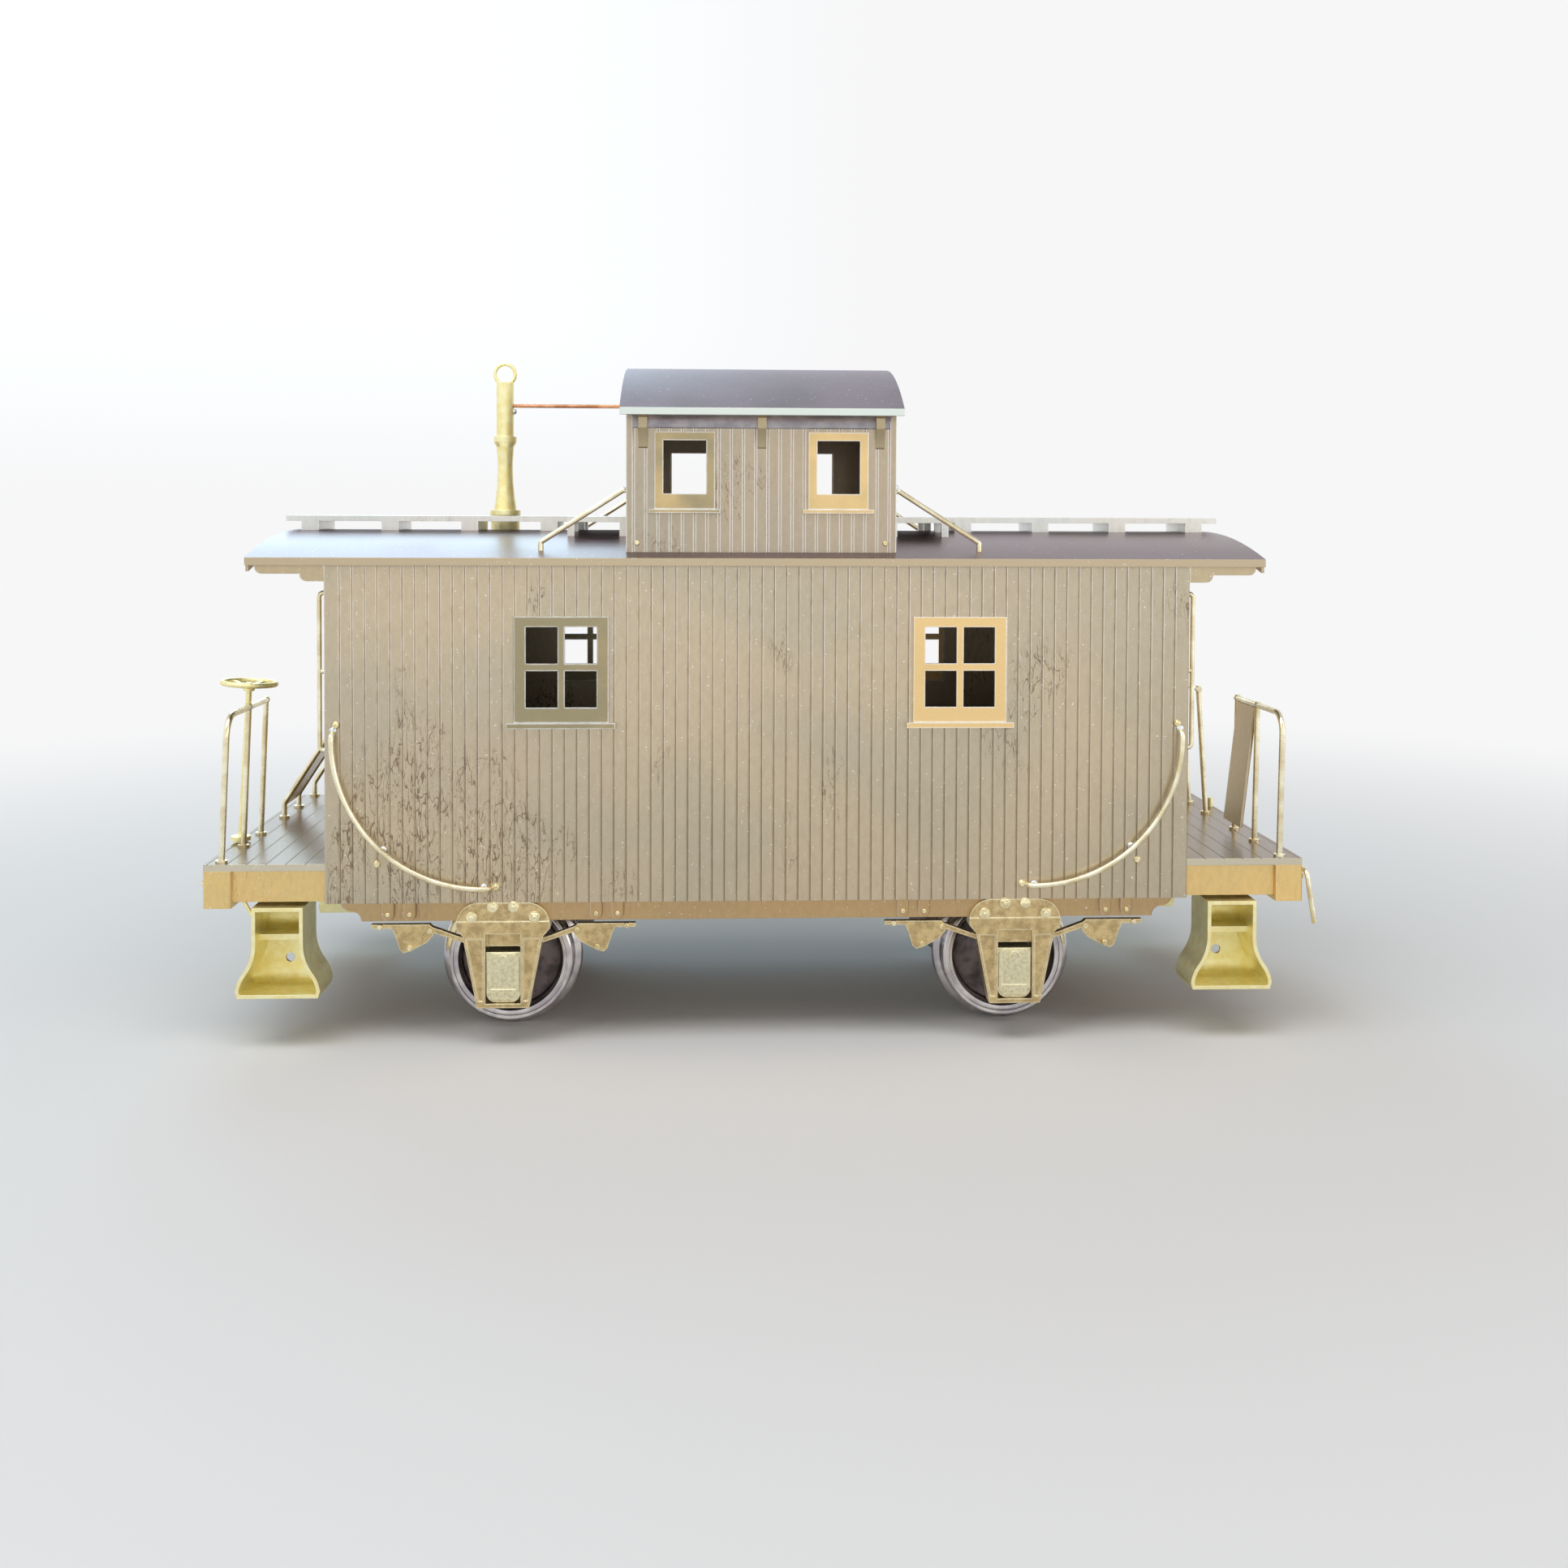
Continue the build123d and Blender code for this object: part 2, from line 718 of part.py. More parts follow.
def end_wall():
    """Right end wall, scribed and arched, with a door opening and two window openings."""
    side = wall_inside
    crown = ridge_height - roof_sheet - roof_seat_gap
    radius = roof_radius - roof_sheet
    edge = arch_height(crown, radius, side)
    outline = Polyline((-side, edge), (-side, floor_top), (side, floor_top), (side, edge))
    outline += ThreePointArc((side, edge), (0, crown), (-side, edge))
    wall = make_face(outline)
    wall -= rectangle_between(-door_width / 2, door_width / 2, floor_top, floor_top + door_height)
    sill = floor_top + window_sill_above_floor
    for centre in (-end_window_offset, end_window_offset):
        wall -= rectangle_between(centre - end_window_width / 2, centre + end_window_width / 2,
                                  sill, sill + end_window_height)
    groove = scribe(floor_top, crown)
    grooves = [Pos(half_body, y, 0) * groove for y in scribe_places(half_width, end_wall_corner_strip)]
    return end_plate(wall, half_body, wall_sheet) - grooves


def end_door():
    """Right end door soldered in its opening: framed leaf with a light, two sunk panels, casing, knob."""
    half = door_width / 2
    top = floor_top + door_height
    casing = rectangle_between(-half - casing_width, half + casing_width, floor_top, top + casing_width)
    inner_top = top - sash_fit
    casing -= rectangle_between(-half + sash_fit, half - sash_fit, floor_top, inner_top)
    door = end_plate(casing, half_body + casing_thickness, casing_thickness)
    leaf = rectangle_between(-half + sash_fit, half - sash_fit, floor_top, inner_top)
    light_top = inner_top - door_rail
    light_bottom = light_top - door_light_height
    clear = half - sash_fit - door_stile
    leaf -= rectangle_between(-clear, clear, light_bottom, light_top)
    outside = half_body + casing_thickness
    door += end_plate(leaf, outside, door_leaf_thickness)
    panel_top = light_bottom - door_rail
    panel_bottom = floor_top + door_rail
    middle = (panel_top + panel_bottom) / 2
    for low, high in ((panel_bottom, middle - door_rail / 2), (middle + door_rail / 2, panel_top)):
        door -= end_plate(rectangle_between(-clear, clear, low, high), outside, door_panel_recess)
    knob = Pos(outside, clear + door_stile / 2, middle) * Sphere(door_knob_radius)
    return door + knob


def window_frame(centre, sill, width, height, lights):
    """Face of a casing and the face of the sash inside it, as one pair of sketches."""
    head = sill + height
    surround = rectangle_between(centre - width / 2 - casing_width, centre + width / 2 + casing_width,
                                 sill - casing_head, head + casing_head)
    w = width / 2 - sash_fit
    opening = rectangle_between(centre - w, centre + w, sill + sash_fit, head - sash_fit)
    sash = opening
    across, up = lights
    lowest = sill + sash_fit + sash_bottom_rail
    pane_w = (2 * w - 2 * sash_border - (across - 1) * pane_mullion) / across
    pane_h = (head - sash_fit - sash_border - lowest - (up - 1) * pane_rail) / up
    for column in range(across):
        for row in range(up):
            left = centre - w + sash_border + column * (pane_w + pane_mullion)
            low = lowest + row * (pane_h + pane_rail)
            sash -= rectangle_between(left, left + pane_w, low, low + pane_h)
    return surround - opening, sash


def side_window(centre):
    """Front wall window: casing on the siding, four-light sash in the opening and a sill board."""
    sill = floor_top + window_sill_above_floor
    surround, sash = window_frame(centre, sill, window_width, window_height, (2, 2))
    front = half_width + casing_thickness
    frame = front_plate(surround, front, casing_thickness)
    frame += front_plate(sash, front, sash_thickness)
    ledge = rectangle_between(centre - window_sill_width / 2, centre + window_sill_width / 2,
                              sill - window_sill_height, sill)
    return frame + front_plate(ledge, half_width + window_sill_proud, window_sill_proud)


def end_window(centre):
    """Right end window: casing and a sash of two lights, one above the other."""
    sill = floor_top + window_sill_above_floor
    surround, sash = window_frame(centre, sill, end_window_width, end_window_height, (1, 2))
    outside = half_body + casing_thickness
    return end_plate(surround, outside, casing_thickness) + end_plate(sash, outside, sash_thickness)


def arched_sheet(roof_width, eave, rise, sheet, fascia, length):
    """Arched roof sheet with a fascia turned down along each eave."""
    crown = eave + rise
    radius = (roof_width**2 + rise**2) / (2 * rise)
    inner = roof_width - sheet
    inner_edge = arch_height(crown - sheet, radius - sheet, inner)
    outline = Polyline((-inner, inner_edge), (-inner, eave - fascia), (-roof_width, eave - fascia),
                       (-roof_width, eave))
    outline += ThreePointArc((-roof_width, eave), (0, crown), (roof_width, eave))
    outline += Polyline((roof_width, eave), (roof_width, eave - fascia), (inner, eave - fascia),
                        (inner, inner_edge))
    outline += ThreePointArc((inner, inner_edge), (0, crown - sheet), (-inner, inner_edge))
    return extrude(Plane.YZ * make_face(outline), amount=length / 2, both=True)


def above_roof(shape):
    """What is left of a shape above the main roof, so that its foot fits the curve."""
    roof = Rot(0, 90, 0) * Cylinder(roof_radius, 4 * half_body)
    return shape - Pos(0, 0, ridge_height - roof_radius) * roof


def roof_end_strip():
    """Arched strip under the right end of the main roof, reaching a little below the fascias."""
    side = roof_half_width - roof_sheet
    crown = ridge_height - roof_sheet
    edge = arch_height(crown, roof_radius - roof_sheet, side)
    outline = Polyline((side, edge), (side, edge - end_strip_depth))
    outline += ThreePointArc((side, edge - end_strip_depth), (0, crown - end_strip_depth),
                             (-side, edge - end_strip_depth))
    outline += Line((-side, edge - end_strip_depth), (-side, edge))
    outline += ThreePointArc((-side, edge), (0, crown), (side, edge))
    return end_plate(make_face(outline), roof_half_length, end_strip_thickness)


def main_roof():
    """Main roof with a strip under each end and the hatch that opens into the cupola."""
    roof = arched_sheet(roof_half_width, eave_height, roof_rise, roof_sheet, fascia_height,
                        2 * roof_half_length)
    for end in ("left", "right"):
        roof += at_end(roof_end_strip(), end)
    x = cupola_half_length - cupola_sheet - roof_hatch_margin
    y = cupola_half_width - cupola_sheet - roof_hatch_margin
    return roof - box_between(-x, x, -y, y, eave_height - fascia_height, ridge_height + roof_sheet)


def eave_bracket():
    """Stepped plate end that carries the roof overhang at the right front corner."""
    tip = roof_half_length - bracket_tip_gap
    root = half_body + bracket_root_length
    root_low = wall_top - bracket_root_depth
    arm_low = wall_top - bracket_arm_depth
    face = make_face(Polyline(
        (half_body, wall_top), (half_body, root_low), (root, root_low), (root, arm_low),
        (tip, arm_low), (tip, wall_top), (half_body, wall_top),
    ))
    outer_corners = [vertex for vertex in face.vertices()
                     if (vertex.X, vertex.Y) in ((root, root_low), (tip, arm_low))]
    return front_plate(fillet(outer_corners, bracket_step_radius), half_width, bracket_thickness)


def roofwalk():
    """Right roofwalk: three boards on saddles that fit the roof."""
    start = cupola_half_length + walk_board_gap
    end = roof_half_length + walk_end_overhang
    walk = box_between(start, end, -walk_half_width, walk_half_width, walk_bottom, walk_top)
    board = (2 * walk_half_width - 2 * walk_board_gap) / 3
    for y in (-board / 2 - walk_board_gap, board / 2):
        walk -= box_between(start, end, y, y + walk_board_gap, walk_bottom + walk_thickness / 2, walk_top)
    outermost = end - saddle_from_walk_end
    for number in range(int((outermost - saddle_length / 2 - start) / saddle_pitch) + 1):
        place = outermost - number * saddle_pitch
        saddle = box_between(place - saddle_length / 2, place + saddle_length / 2,
                             -walk_half_width, walk_half_width, eave_height, walk_bottom)
        walk += above_roof(saddle)
    return walk


def lateral_board():
    """Right front side board beside the roofwalk, on a rail of posts along its outer edge."""
    x0 = cupola_half_length + 2 * walk_board_gap
    x1 = x0 + lateral_length
    y0 = -walk_half_width - walk_board_gap
    y1 = y0 - lateral_width
    board = box_between(x0, x1, y0, y1, walk_bottom, walk_top)
    for place in (x0, x1 - lateral_post):
        for y in (y1, y0 - lateral_post):
            post = box_between(place, place + lateral_post, y, y + lateral_post, eave_height, walk_bottom)
            board += above_roof(post)
    return board


def cupola_side():
    """Front cupola wall, cut to the roof curve below, with two window openings."""
    wall = rectangle_between(-cupola_half_length, cupola_half_length, eave_height, cupola_wall_top)
    sill = cupola_eave - cupola_window_below_eave
    for centre in (-cupola_window_spacing / 2, cupola_window_spacing / 2):
        wall -= rectangle_between(centre - cupola_window_width / 2, centre + cupola_window_width / 2,
                                  sill, sill + cupola_window_height)
    groove = scribe(eave_height, cupola_wall_top)
    grooves = [Pos(x, -cupola_half_width, 0) * groove
               for x in scribe_places(cupola_half_length, cupola_corner_strip)]
    return above_roof(front_plate(wall, cupola_half_width, cupola_sheet) - grooves)


def cupola_end():
    """Right cupola end wall between the side walls, arched above and below, with two windows."""
    side = cupola_half_width - cupola_sheet
    crown = cupola_ridge - cupola_roof_sheet - roof_seat_gap
    edge = arch_height(crown, cupola_radius - cupola_roof_sheet, side)
    outline = Polyline((-side, edge), (-side, eave_height), (side, eave_height), (side, edge))
    outline += ThreePointArc((side, edge), (0, crown), (-side, edge))
    wall = make_face(outline)
    sill = cupola_eave - cupola_window_below_eave
    for centre in (-cupola_end_window_spacing / 2, cupola_end_window_spacing / 2):
        wall -= rectangle_between(centre - cupola_window_width / 2, centre + cupola_window_width / 2,
                                  sill, sill + cupola_window_height)
    groove = scribe(eave_height, crown)
    grooves = [Pos(cupola_half_length, y, 0) * groove
               for y in scribe_places(cupola_half_width, cupola_corner_strip)]
    return above_roof(end_plate(wall, cupola_half_length, cupola_sheet) - grooves)


def cupola_roof():
    """Cupola roof, more arched than the main one."""
    return arched_sheet(cupola_roof_half_width, cupola_eave, cupola_rise, cupola_roof_sheet,
                        cupola_fascia_height, cupola_length + 2 * cupola_end_overhang)


def cupola_frame(centre):
    """Face of a cupola window frame, with a deep bottom rail below its one light."""
    sill = cupola_eave - cupola_window_below_eave
    left = centre - cupola_window_width / 2
    right = centre + cupola_window_width / 2
    head = sill + cupola_window_height
    frame = rectangle_between(left - cupola_frame_side, right + cupola_frame_side,
                              sill - cupola_frame_bottom, head + cupola_frame_side)
    return frame - rectangle_between(left + cupola_frame_fit, right - cupola_frame_fit,
                                     sill + cupola_frame_fit, head - cupola_frame_fit)


def cupola_side_window(centre):
    """Front cupola window frame with the sill board under it."""
    foot = cupola_eave - cupola_window_below_eave - cupola_frame_bottom
    frame = front_plate(cupola_frame(centre), cupola_half_width + casing_thickness, casing_thickness)
    ledge = rectangle_between(centre - cupola_sill_width / 2, centre + cupola_sill_width / 2,
                              foot - cupola_sill_height, foot)
    proud = 2 * casing_thickness
    return frame + front_plate(ledge, cupola_half_width + proud, proud)


def cupola_end_window(centre):
    """Right cupola end window frame."""
    return end_plate(cupola_frame(centre), cupola_half_length + casing_thickness, casing_thickness)


def eave_cove():
    """Hollow moulding under the front cupola eave with three small brackets below it."""
    wall = -cupola_half_width
    fascia = -(cupola_roof_half_width - cupola_roof_sheet) + roof_seat_gap
    top = cupola_eave - cupola_fascia_height
    low = top - cove_height
    outline = Polyline((fascia, top), (wall, top), (wall, low))
    outline += SagittaArc((wall, low), (fascia, top), -cove_hollow)
    cove = extrude(Plane.YZ * make_face(outline), amount=cupola_half_length - cove_end_inset, both=True)
    half = cove_bracket_width / 2
    foot = low - cove_bracket_height
    head = top - roof_seat_gap
    outer = wall - cove_bracket_proud
    knee = Polyline((outer, low), (outer, head), (wall, head), (wall, foot))
    knee += SagittaArc((wall, foot), (outer, low), -cove_bracket_hollow)
    knee = make_face(knee)
    for place in (-cove_bracket_spacing, 0, cove_bracket_spacing):
        cove += Pos(place, 0, 0) * extrude(Plane.YZ * knee, amount=half, both=True)
    return cove


def smokejack():
    """Turned smokejack on the left of the roof behind the walk: base, flange, waisted pipe, loop on top."""
    flange_bottom = walk_top + roof_seat_gap
    flange_top = flange_bottom + jack_flange_height
    collar = flange_top + jack_collar_above_flange
    top = collar + jack_pipe_length
    seat = eave_height
    waist = flange_top + jack_waist_above_flange
    outline = Polyline((0, seat), (jack_base_radius, seat), (jack_base_radius, flange_bottom),
                       (jack_flange_radius, flange_bottom), (jack_flange_radius, flange_top),
                       (jack_cone_radius, flange_top))
    outline += ThreePointArc((jack_cone_radius, flange_top),
                             ((jack_cone_radius + 3 * jack_waist_radius) / 4, (flange_top + waist) / 2),
                             (jack_waist_radius, waist))
    outline += Polyline((jack_waist_radius, waist), (jack_pipe_radius, collar - jack_collar_lead),
                        (jack_collar_radius, collar), (jack_collar_radius, collar + jack_collar_height),
                        (jack_pipe_radius, collar + jack_collar_height), (jack_pipe_radius, top),
                        (0, top), (0, seat))
    jack = revolve(Plane.XZ * make_face(outline), axis=Axis.Z)
    loop = Rot(90, 0, 0) * Torus(jack_loop_radius, jack_loop_wire)
    jack += Pos(0, 0, top + jack_loop_radius - jack_loop_wire) * loop
    return above_roof(Pos(-jack_from_middle, jack_off_centre, 0) * jack)


def jack_top():
    """Height of the top of the smokejack's pipe."""
    return walk_top + roof_seat_gap + jack_flange_height + jack_collar_above_flange + jack_pipe_length


def jack_brace():
    """Wire from the smokejack to the left end wall of the cupola."""
    height = jack_top() - brace_below_jack_top
    return rod(brace_wire, (-jack_from_middle + jack_pipe_radius, jack_off_centre, height),
               (-cupola_half_length, jack_off_centre, height))


def cupola_handrail():
    """Slanting wire from the right front corner of the cupola down to the roof."""
    y = -cupola_half_width + cupola_rail_from_wall
    roof = arch_height(ridge_height, roof_radius, y)
    high = roof + cupola_rail_height
    foot = cupola_half_length + cupola_rail_run
    points = (
        (cupola_half_length, y, high),
        (cupola_half_length + rail_bend, y, high),
        (foot, y, roof + rail_foot_height),
        (foot, y, roof - rail_wire),
    )
    return above_roof(bent_wire(rail_wire, points, rail_bend))


def corner_handrail():
    """Curved handrail low on the right front corner, standing off the siding on three ends."""
    wall = -half_width
    y = wall - rail_stand_off
    side = half_body - corner_rail_from_body_end
    low = siding_bottom + corner_rail_above_siding_bottom
    centre_x = side - corner_rail_radius
    centre_z = low + corner_rail_radius
    corner = (centre_x + corner_rail_radius, y, centre_z)
    bend = rail_stand_off - rail_wire
    k = sqrt(0.5)
    sweep_path = Polyline((side, wall, centre_z + bend), (side, y + bend, centre_z + bend))
    sweep_path += ThreePointArc((side, y + bend, centre_z + bend),
                                (side, y + bend * (1 - k), centre_z + bend * k), corner)
    middle = (centre_x + corner_rail_radius * k, y, centre_z - corner_rail_radius * k)
    sweep_path += ThreePointArc(corner, middle, (centre_x, y, low))
    sweep_path += ThreePointArc((centre_x, y, low),
                                (centre_x - bend * k, y + bend * (1 - k), low),
                                (centre_x - bend, y + bend, low))
    sweep_path += Line((centre_x - bend, y + bend, low), (centre_x - bend, wall, low))
    section = Plane(origin=(side, wall, centre_z + bend), z_dir=(0, -1, 0)) * Circle(rail_wire)
    rail = sweep(section, path=sweep_path)
    angle = radians(corner_rail_post_angle)
    x = centre_x + corner_rail_radius * sin(angle)
    z = centre_z - corner_rail_radius * cos(angle)
    return rail + rod(rail_wire, (x, y, z), (x, wall, z))


def grab_iron():
    """Upright grab iron on the right end wall near its front corner, on three stubs."""
    wall = half_body
    x = wall + grab_iron_stand_off
    y = -half_width + grab_iron_from_corner
    low = floor_top + grab_iron_bottom_above_floor
    high = low + grab_iron_length
    points = ((wall, y, low), (x, y, low), (x, y, high), (wall, y, high))
    iron = bent_wire(grab_iron_wire, points, grab_iron_bend)
    middle = (low + high) / 2
    return iron + rod(grab_iron_stub, (wall, y, middle), (x, y, middle))


def above_deck(stance, along):
    """Place (x, z) on a right end railing at a length along its posts from the deck."""
    setback, lean, knee = stance
    upper = along - knee
    return (platform_end - setback - upper * sin(radians(lean)),
            floor_top + knee + upper * cos(radians(lean)))


def half_railing(stance):
    """Right front half railing: corner post bent into the top rail, two more posts, feet on the deck."""
    setback, lean, knee = stance
    line = platform_end - setback
    corner = -half_width + railing_corner_from_side
    x_top, z_top = above_deck(stance, railing_height)
    x_tip, z_tip = above_deck(stance, railing_height + railing_post_tip)
    rail_end = (x_top, -railing_inner_post + railing_rail_tail, z_top)
    start = [(line, corner, floor_top)]
    bends = [railing_corner_radius]
    if knee:
        start.append((line, corner, floor_top + knee))
        bends = [railing_knee_radius, railing_corner_radius]
    railing = bent_wire(railing_wire, (*start, (x_top, corner, z_top), rail_end), bends)
    for y in (-railing_middle_post, -railing_inner_post):
        if knee:
            points = ((line, y, floor_top), (line, y, floor_top + knee), (x_tip, y, z_tip))
            railing += bent_wire(railing_post_wire, points, railing_knee_radius)
        else:
            railing += rod(railing_post_wire, (line, y, floor_top), (x_tip, y, z_tip))
    for y in (corner, -railing_middle_post, -railing_inner_post):
        railing += Pos(line, y, floor_top + railing_foot_height / 2) * Cylinder(
            railing_foot_radius, railing_foot_height
        )
    return railing - box_between(half_body, platform_end, -half_width, 0, floor_bottom, floor_top)


def rail_plate(stance, swing):
    """Sheet between the two inner posts of the right front railing, swung in under the top rail."""
    middle = -(railing_middle_post + railing_inner_post) / 2
    half = rail_plate_thickness / 2
    plate = box_between(-half, half, middle - rail_plate_width / 2, middle + rail_plate_width / 2,
                        -railing_wire - rail_plate_height, -railing_wire)
    x_top, z_top = above_deck(stance, railing_height)
    return Pos(x_top, 0, z_top) * Rot(0, swing, 0) * plate


def brake_place(shape):
    """A piece of the left front hand brake, modelled about its foot, set on the deck."""
    return Pos(brake_staff_from_platform_end - platform_end, -brake_staff_offset, floor_top) * shape


def brake_stub():
    """What is left of a brake staff whose wheel is missing."""
    return brake_place(Pos(0, 0, brake_stub_height / 2) * Cylinder(brake_staff_radius, brake_stub_height))


def brake_wheel():
    """Left front hand brake: leaning staff in a ratchet on the deck, a dished five-spoke wheel on top."""
    rim_circle = brake_wheel_radius - brake_wheel_rim
    half = brake_wheel_rim / 2
    staff = brake_wheel_height + brake_hub_radius - ratchet_lift
    brake = Pos(0, 0, ratchet_lift + staff / 2) * Cylinder(brake_staff_radius, staff)
    brake += Pos(0, 0, brake_wheel_height) * Cylinder(brake_hub_radius, 2 * brake_wheel_rim)
    spoke = make_face(Polyline((0, -half), (rim_circle, brake_wheel_dish - half),
                               (rim_circle, brake_wheel_dish + half), (0, half), (0, -half)))
    spoke = Pos(0, 0, brake_wheel_height) * extrude(Plane.XZ * spoke, amount=brake_spoke_width / 2, both=True)
    for number in range(brake_spokes):
        brake += Rot(0, 0, 360 / brake_spokes * number) * spoke
    brake += Pos(0, 0, brake_wheel_height + brake_wheel_dish) * Torus(rim_circle, brake_wheel_rim)
    brake = Rot(0, brake_staff_lean, 0) * brake
    brake += Pos(0, 0, ratchet_lift + ratchet_height / 2) * Cylinder(ratchet_radius, ratchet_height)
    brake += Pos(0, 0, ratchet_lift / 2) * Cylinder(ratchet_foot_radius, ratchet_lift)
    return brake_place(brake)


def uncoupling_lever():
    """Right front uncoupling lever along the end beam, its handle hanging below the corner."""
    x = platform_end + lever_from_beam
    z = floor_bottom - lever_below_floor
    corner = -half_width + lever_wire
    points = (
        (x, -lever_inner_end, z),
        (x, corner, z),
        (x + lever_flare, corner - lever_splay, z - lever_drop),
    )
    lever = bent_wire(lever_wire, points, lever_bend)
    for y in lever_bracket_places:
        lever += box_between(platform_end, x, -y - lever_wire, -y + lever_wire,
                             z - lever_wire, z + lever_wire)
    return lever


def all_parts():
    """Every sub-part by its name."""
    parts = {
        "floor_deck": floor_deck(),
        "centre_sill": centre_sill(),
        "main_roof": main_roof(),
        "eave_brackets": four_corners(eave_bracket()),
        "lateral_boards": four_corners(lateral_board()),
        "cupola_roof": cupola_roof(),
        "smokejack": smokejack(),
        "jack_brace": jack_brace(),
        "cupola_handrails": four_corners(cupola_handrail()),
        "corner_handrails": four_corners(corner_handrail()),
        "grab_irons": four_corners(grab_iron()),
    }
    cove = eave_cove()
    parts["eave_coves"] = group(cove, on_side(cove, "back"))
    end_frame = end_window(end_window_offset)
    parts["end_window_frames"] = four_corners(end_frame)
    parts["cupola_end_frames"] = four_corners(cupola_end_window(cupola_end_window_spacing / 2))
    for end in ("left", "right"):
        parts[f"end_beam_{end}"] = at_end(end_beam(), end)
        parts[f"end_wall_{end}"] = at_end(end_wall(), end)
        parts[f"end_door_{end}"] = at_end(end_door(), end)
        parts[f"roofwalk_{end}"] = at_end(roofwalk(), end)
        parts[f"cupola_end_{end}"] = at_end(cupola_end(), end)
        axle_place = Pos((-1 if end == "left" else 1) * wheelbase / 2, 0, axle_height)
        parts[f"axle_{end}"] = axle_place * axle()
        for side in ("front", "back"):
            turned_wheel = on_side(wheel(), "back" if side == "front" else "front")
            parts[f"wheel_{end}_{side}"] = axle_place * turned_wheel
            parts[f"pedestal_{end}_{side}"] = on_side(at_end(pedestal(), end), side)
            parts[f"journal_box_{end}_{side}"] = on_side(at_end(journal_box(), end), side)
            braced = (end, side) in (("left", "front"), ("right", "back"))
            parts[f"step_{end}_{side}"] = on_side(at_end(step(braced), end), side)
            railing = half_railing(railing_stance[end, side])
            parts[f"railing_{end}_{side}"] = on_side(at_end(railing, end), side)
    for side in ("front", "back"):
        parts[f"side_sill_{side}"] = on_side(side_sill(), side)
        parts[f"siding_{side}"] = on_side(siding(), side)
        frames = group(side_window(-window_spacing / 2), side_window(window_spacing / 2))
        parts[f"window_frames_{side}"] = on_side(frames, side)
        parts[f"cupola_side_{side}"] = on_side(cupola_side(), side)
        places = (-cupola_window_spacing / 2, cupola_window_spacing / 2)
        parts[f"cupola_frames_{side}"] = on_side(group(*(cupola_side_window(x) for x in places)), side)
    parts["rail_plate_right"] = rail_plate(railing_stance["right", "front"], right_plate_swing)
    bent = railing_stance["left", "back"]
    parts["rail_plate_left"] = turned(rail_plate(bent, -bent[1]))
    parts["brake_wheels"] = group(brake_wheel(), turned(brake_stub()))
    parts["uncoupling_levers"] = group(uncoupling_lever(), turned(uncoupling_lever()))
    return parts


os.makedirs("parts", exist_ok=True)
for name, shape in all_parts().items():
    export_step(shape, f"parts/{name}.step")
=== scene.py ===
"""Finish and small fittings of a brass O scale caboose, standing on a pale floor. Metres, as in the frame."""

from math import pi, radians

import bmesh
import bpy
from mathutils import Matrix, Vector


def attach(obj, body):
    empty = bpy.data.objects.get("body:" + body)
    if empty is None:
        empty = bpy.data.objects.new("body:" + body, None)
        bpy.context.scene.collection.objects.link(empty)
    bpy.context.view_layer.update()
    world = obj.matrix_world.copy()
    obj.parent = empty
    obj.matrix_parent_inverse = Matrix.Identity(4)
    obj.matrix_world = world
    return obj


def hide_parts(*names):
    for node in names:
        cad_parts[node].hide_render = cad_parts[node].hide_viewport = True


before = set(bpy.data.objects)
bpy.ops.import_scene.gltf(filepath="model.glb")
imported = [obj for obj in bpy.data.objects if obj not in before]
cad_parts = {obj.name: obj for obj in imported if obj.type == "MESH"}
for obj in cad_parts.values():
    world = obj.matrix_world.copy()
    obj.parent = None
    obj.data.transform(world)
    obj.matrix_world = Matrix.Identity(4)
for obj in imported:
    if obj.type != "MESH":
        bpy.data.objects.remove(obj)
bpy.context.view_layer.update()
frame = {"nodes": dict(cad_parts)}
nodes = frame["nodes"]
mm = 0.001

# The view: the front side seen nearly square on from about a quarter of a metre away, a little left of
# the middle and just above the eaves, as a phone held over the model sees it.
camera_place = Vector((-7.21, -248.47, 72.72)) * mm
camera_yaw = radians(2.635)
camera_pitch = radians(-1.692)
camera_roll = radians(0.201)
camera_lens = 37.68
camera_shift_up = -0.1429

camera_data = bpy.data.cameras.new("camera")
camera_data.lens = camera_lens
camera_data.shift_y = camera_shift_up
camera_data.clip_start = 0.01
camera_data.clip_end = 20
camera = bpy.data.objects.new("camera", camera_data)
bpy.context.scene.collection.objects.link(camera)
turn = Matrix.Rotation(-camera_yaw, 4, "Z") @ Matrix.Rotation(pi / 2 + camera_pitch, 4, "X")
camera.matrix_world = Matrix.Translation(camera_place) @ turn @ Matrix.Rotation(camera_roll, 4, "Z")
bpy.context.scene.camera = camera
bpy.context.scene.view_settings.view_transform = "Standard"


# How finishes are written: a Value is a socket that takes Python's arithmetic, and Nodes adds the nodes
# of one material or of the world, each with its settings and with numbers, colours or Values put in.
class Value:
    """A socket that takes Python's arithmetic; each operation adds its Math node."""

    def __init__(self, nodes, socket):
        self.nodes = nodes
        self.socket = socket

    def math(self, operation, *values):
        return self.nodes.add("ShaderNodeMath", {"operation": operation}, dict(enumerate(values)))

    def __add__(self, other):
        return self.math("ADD", self, other)

    def __sub__(self, other):
        return self.math("SUBTRACT", self, other)

    def __mul__(self, other):
        return self.math("MULTIPLY", self, other)

    def __abs__(self):
        return self.math("ABSOLUTE", self)

    __radd__ = __add__

    def fade(self, low, high, start=0.0, end=1.0):
        """Goes smoothly from start to end as the value goes from low to high."""
        settings = {"interpolation_type": "SMOOTHSTEP"}
        return self.nodes.add("ShaderNodeMapRange", settings, {0: self, 1: low, 2: high, 3: start, 4: end})


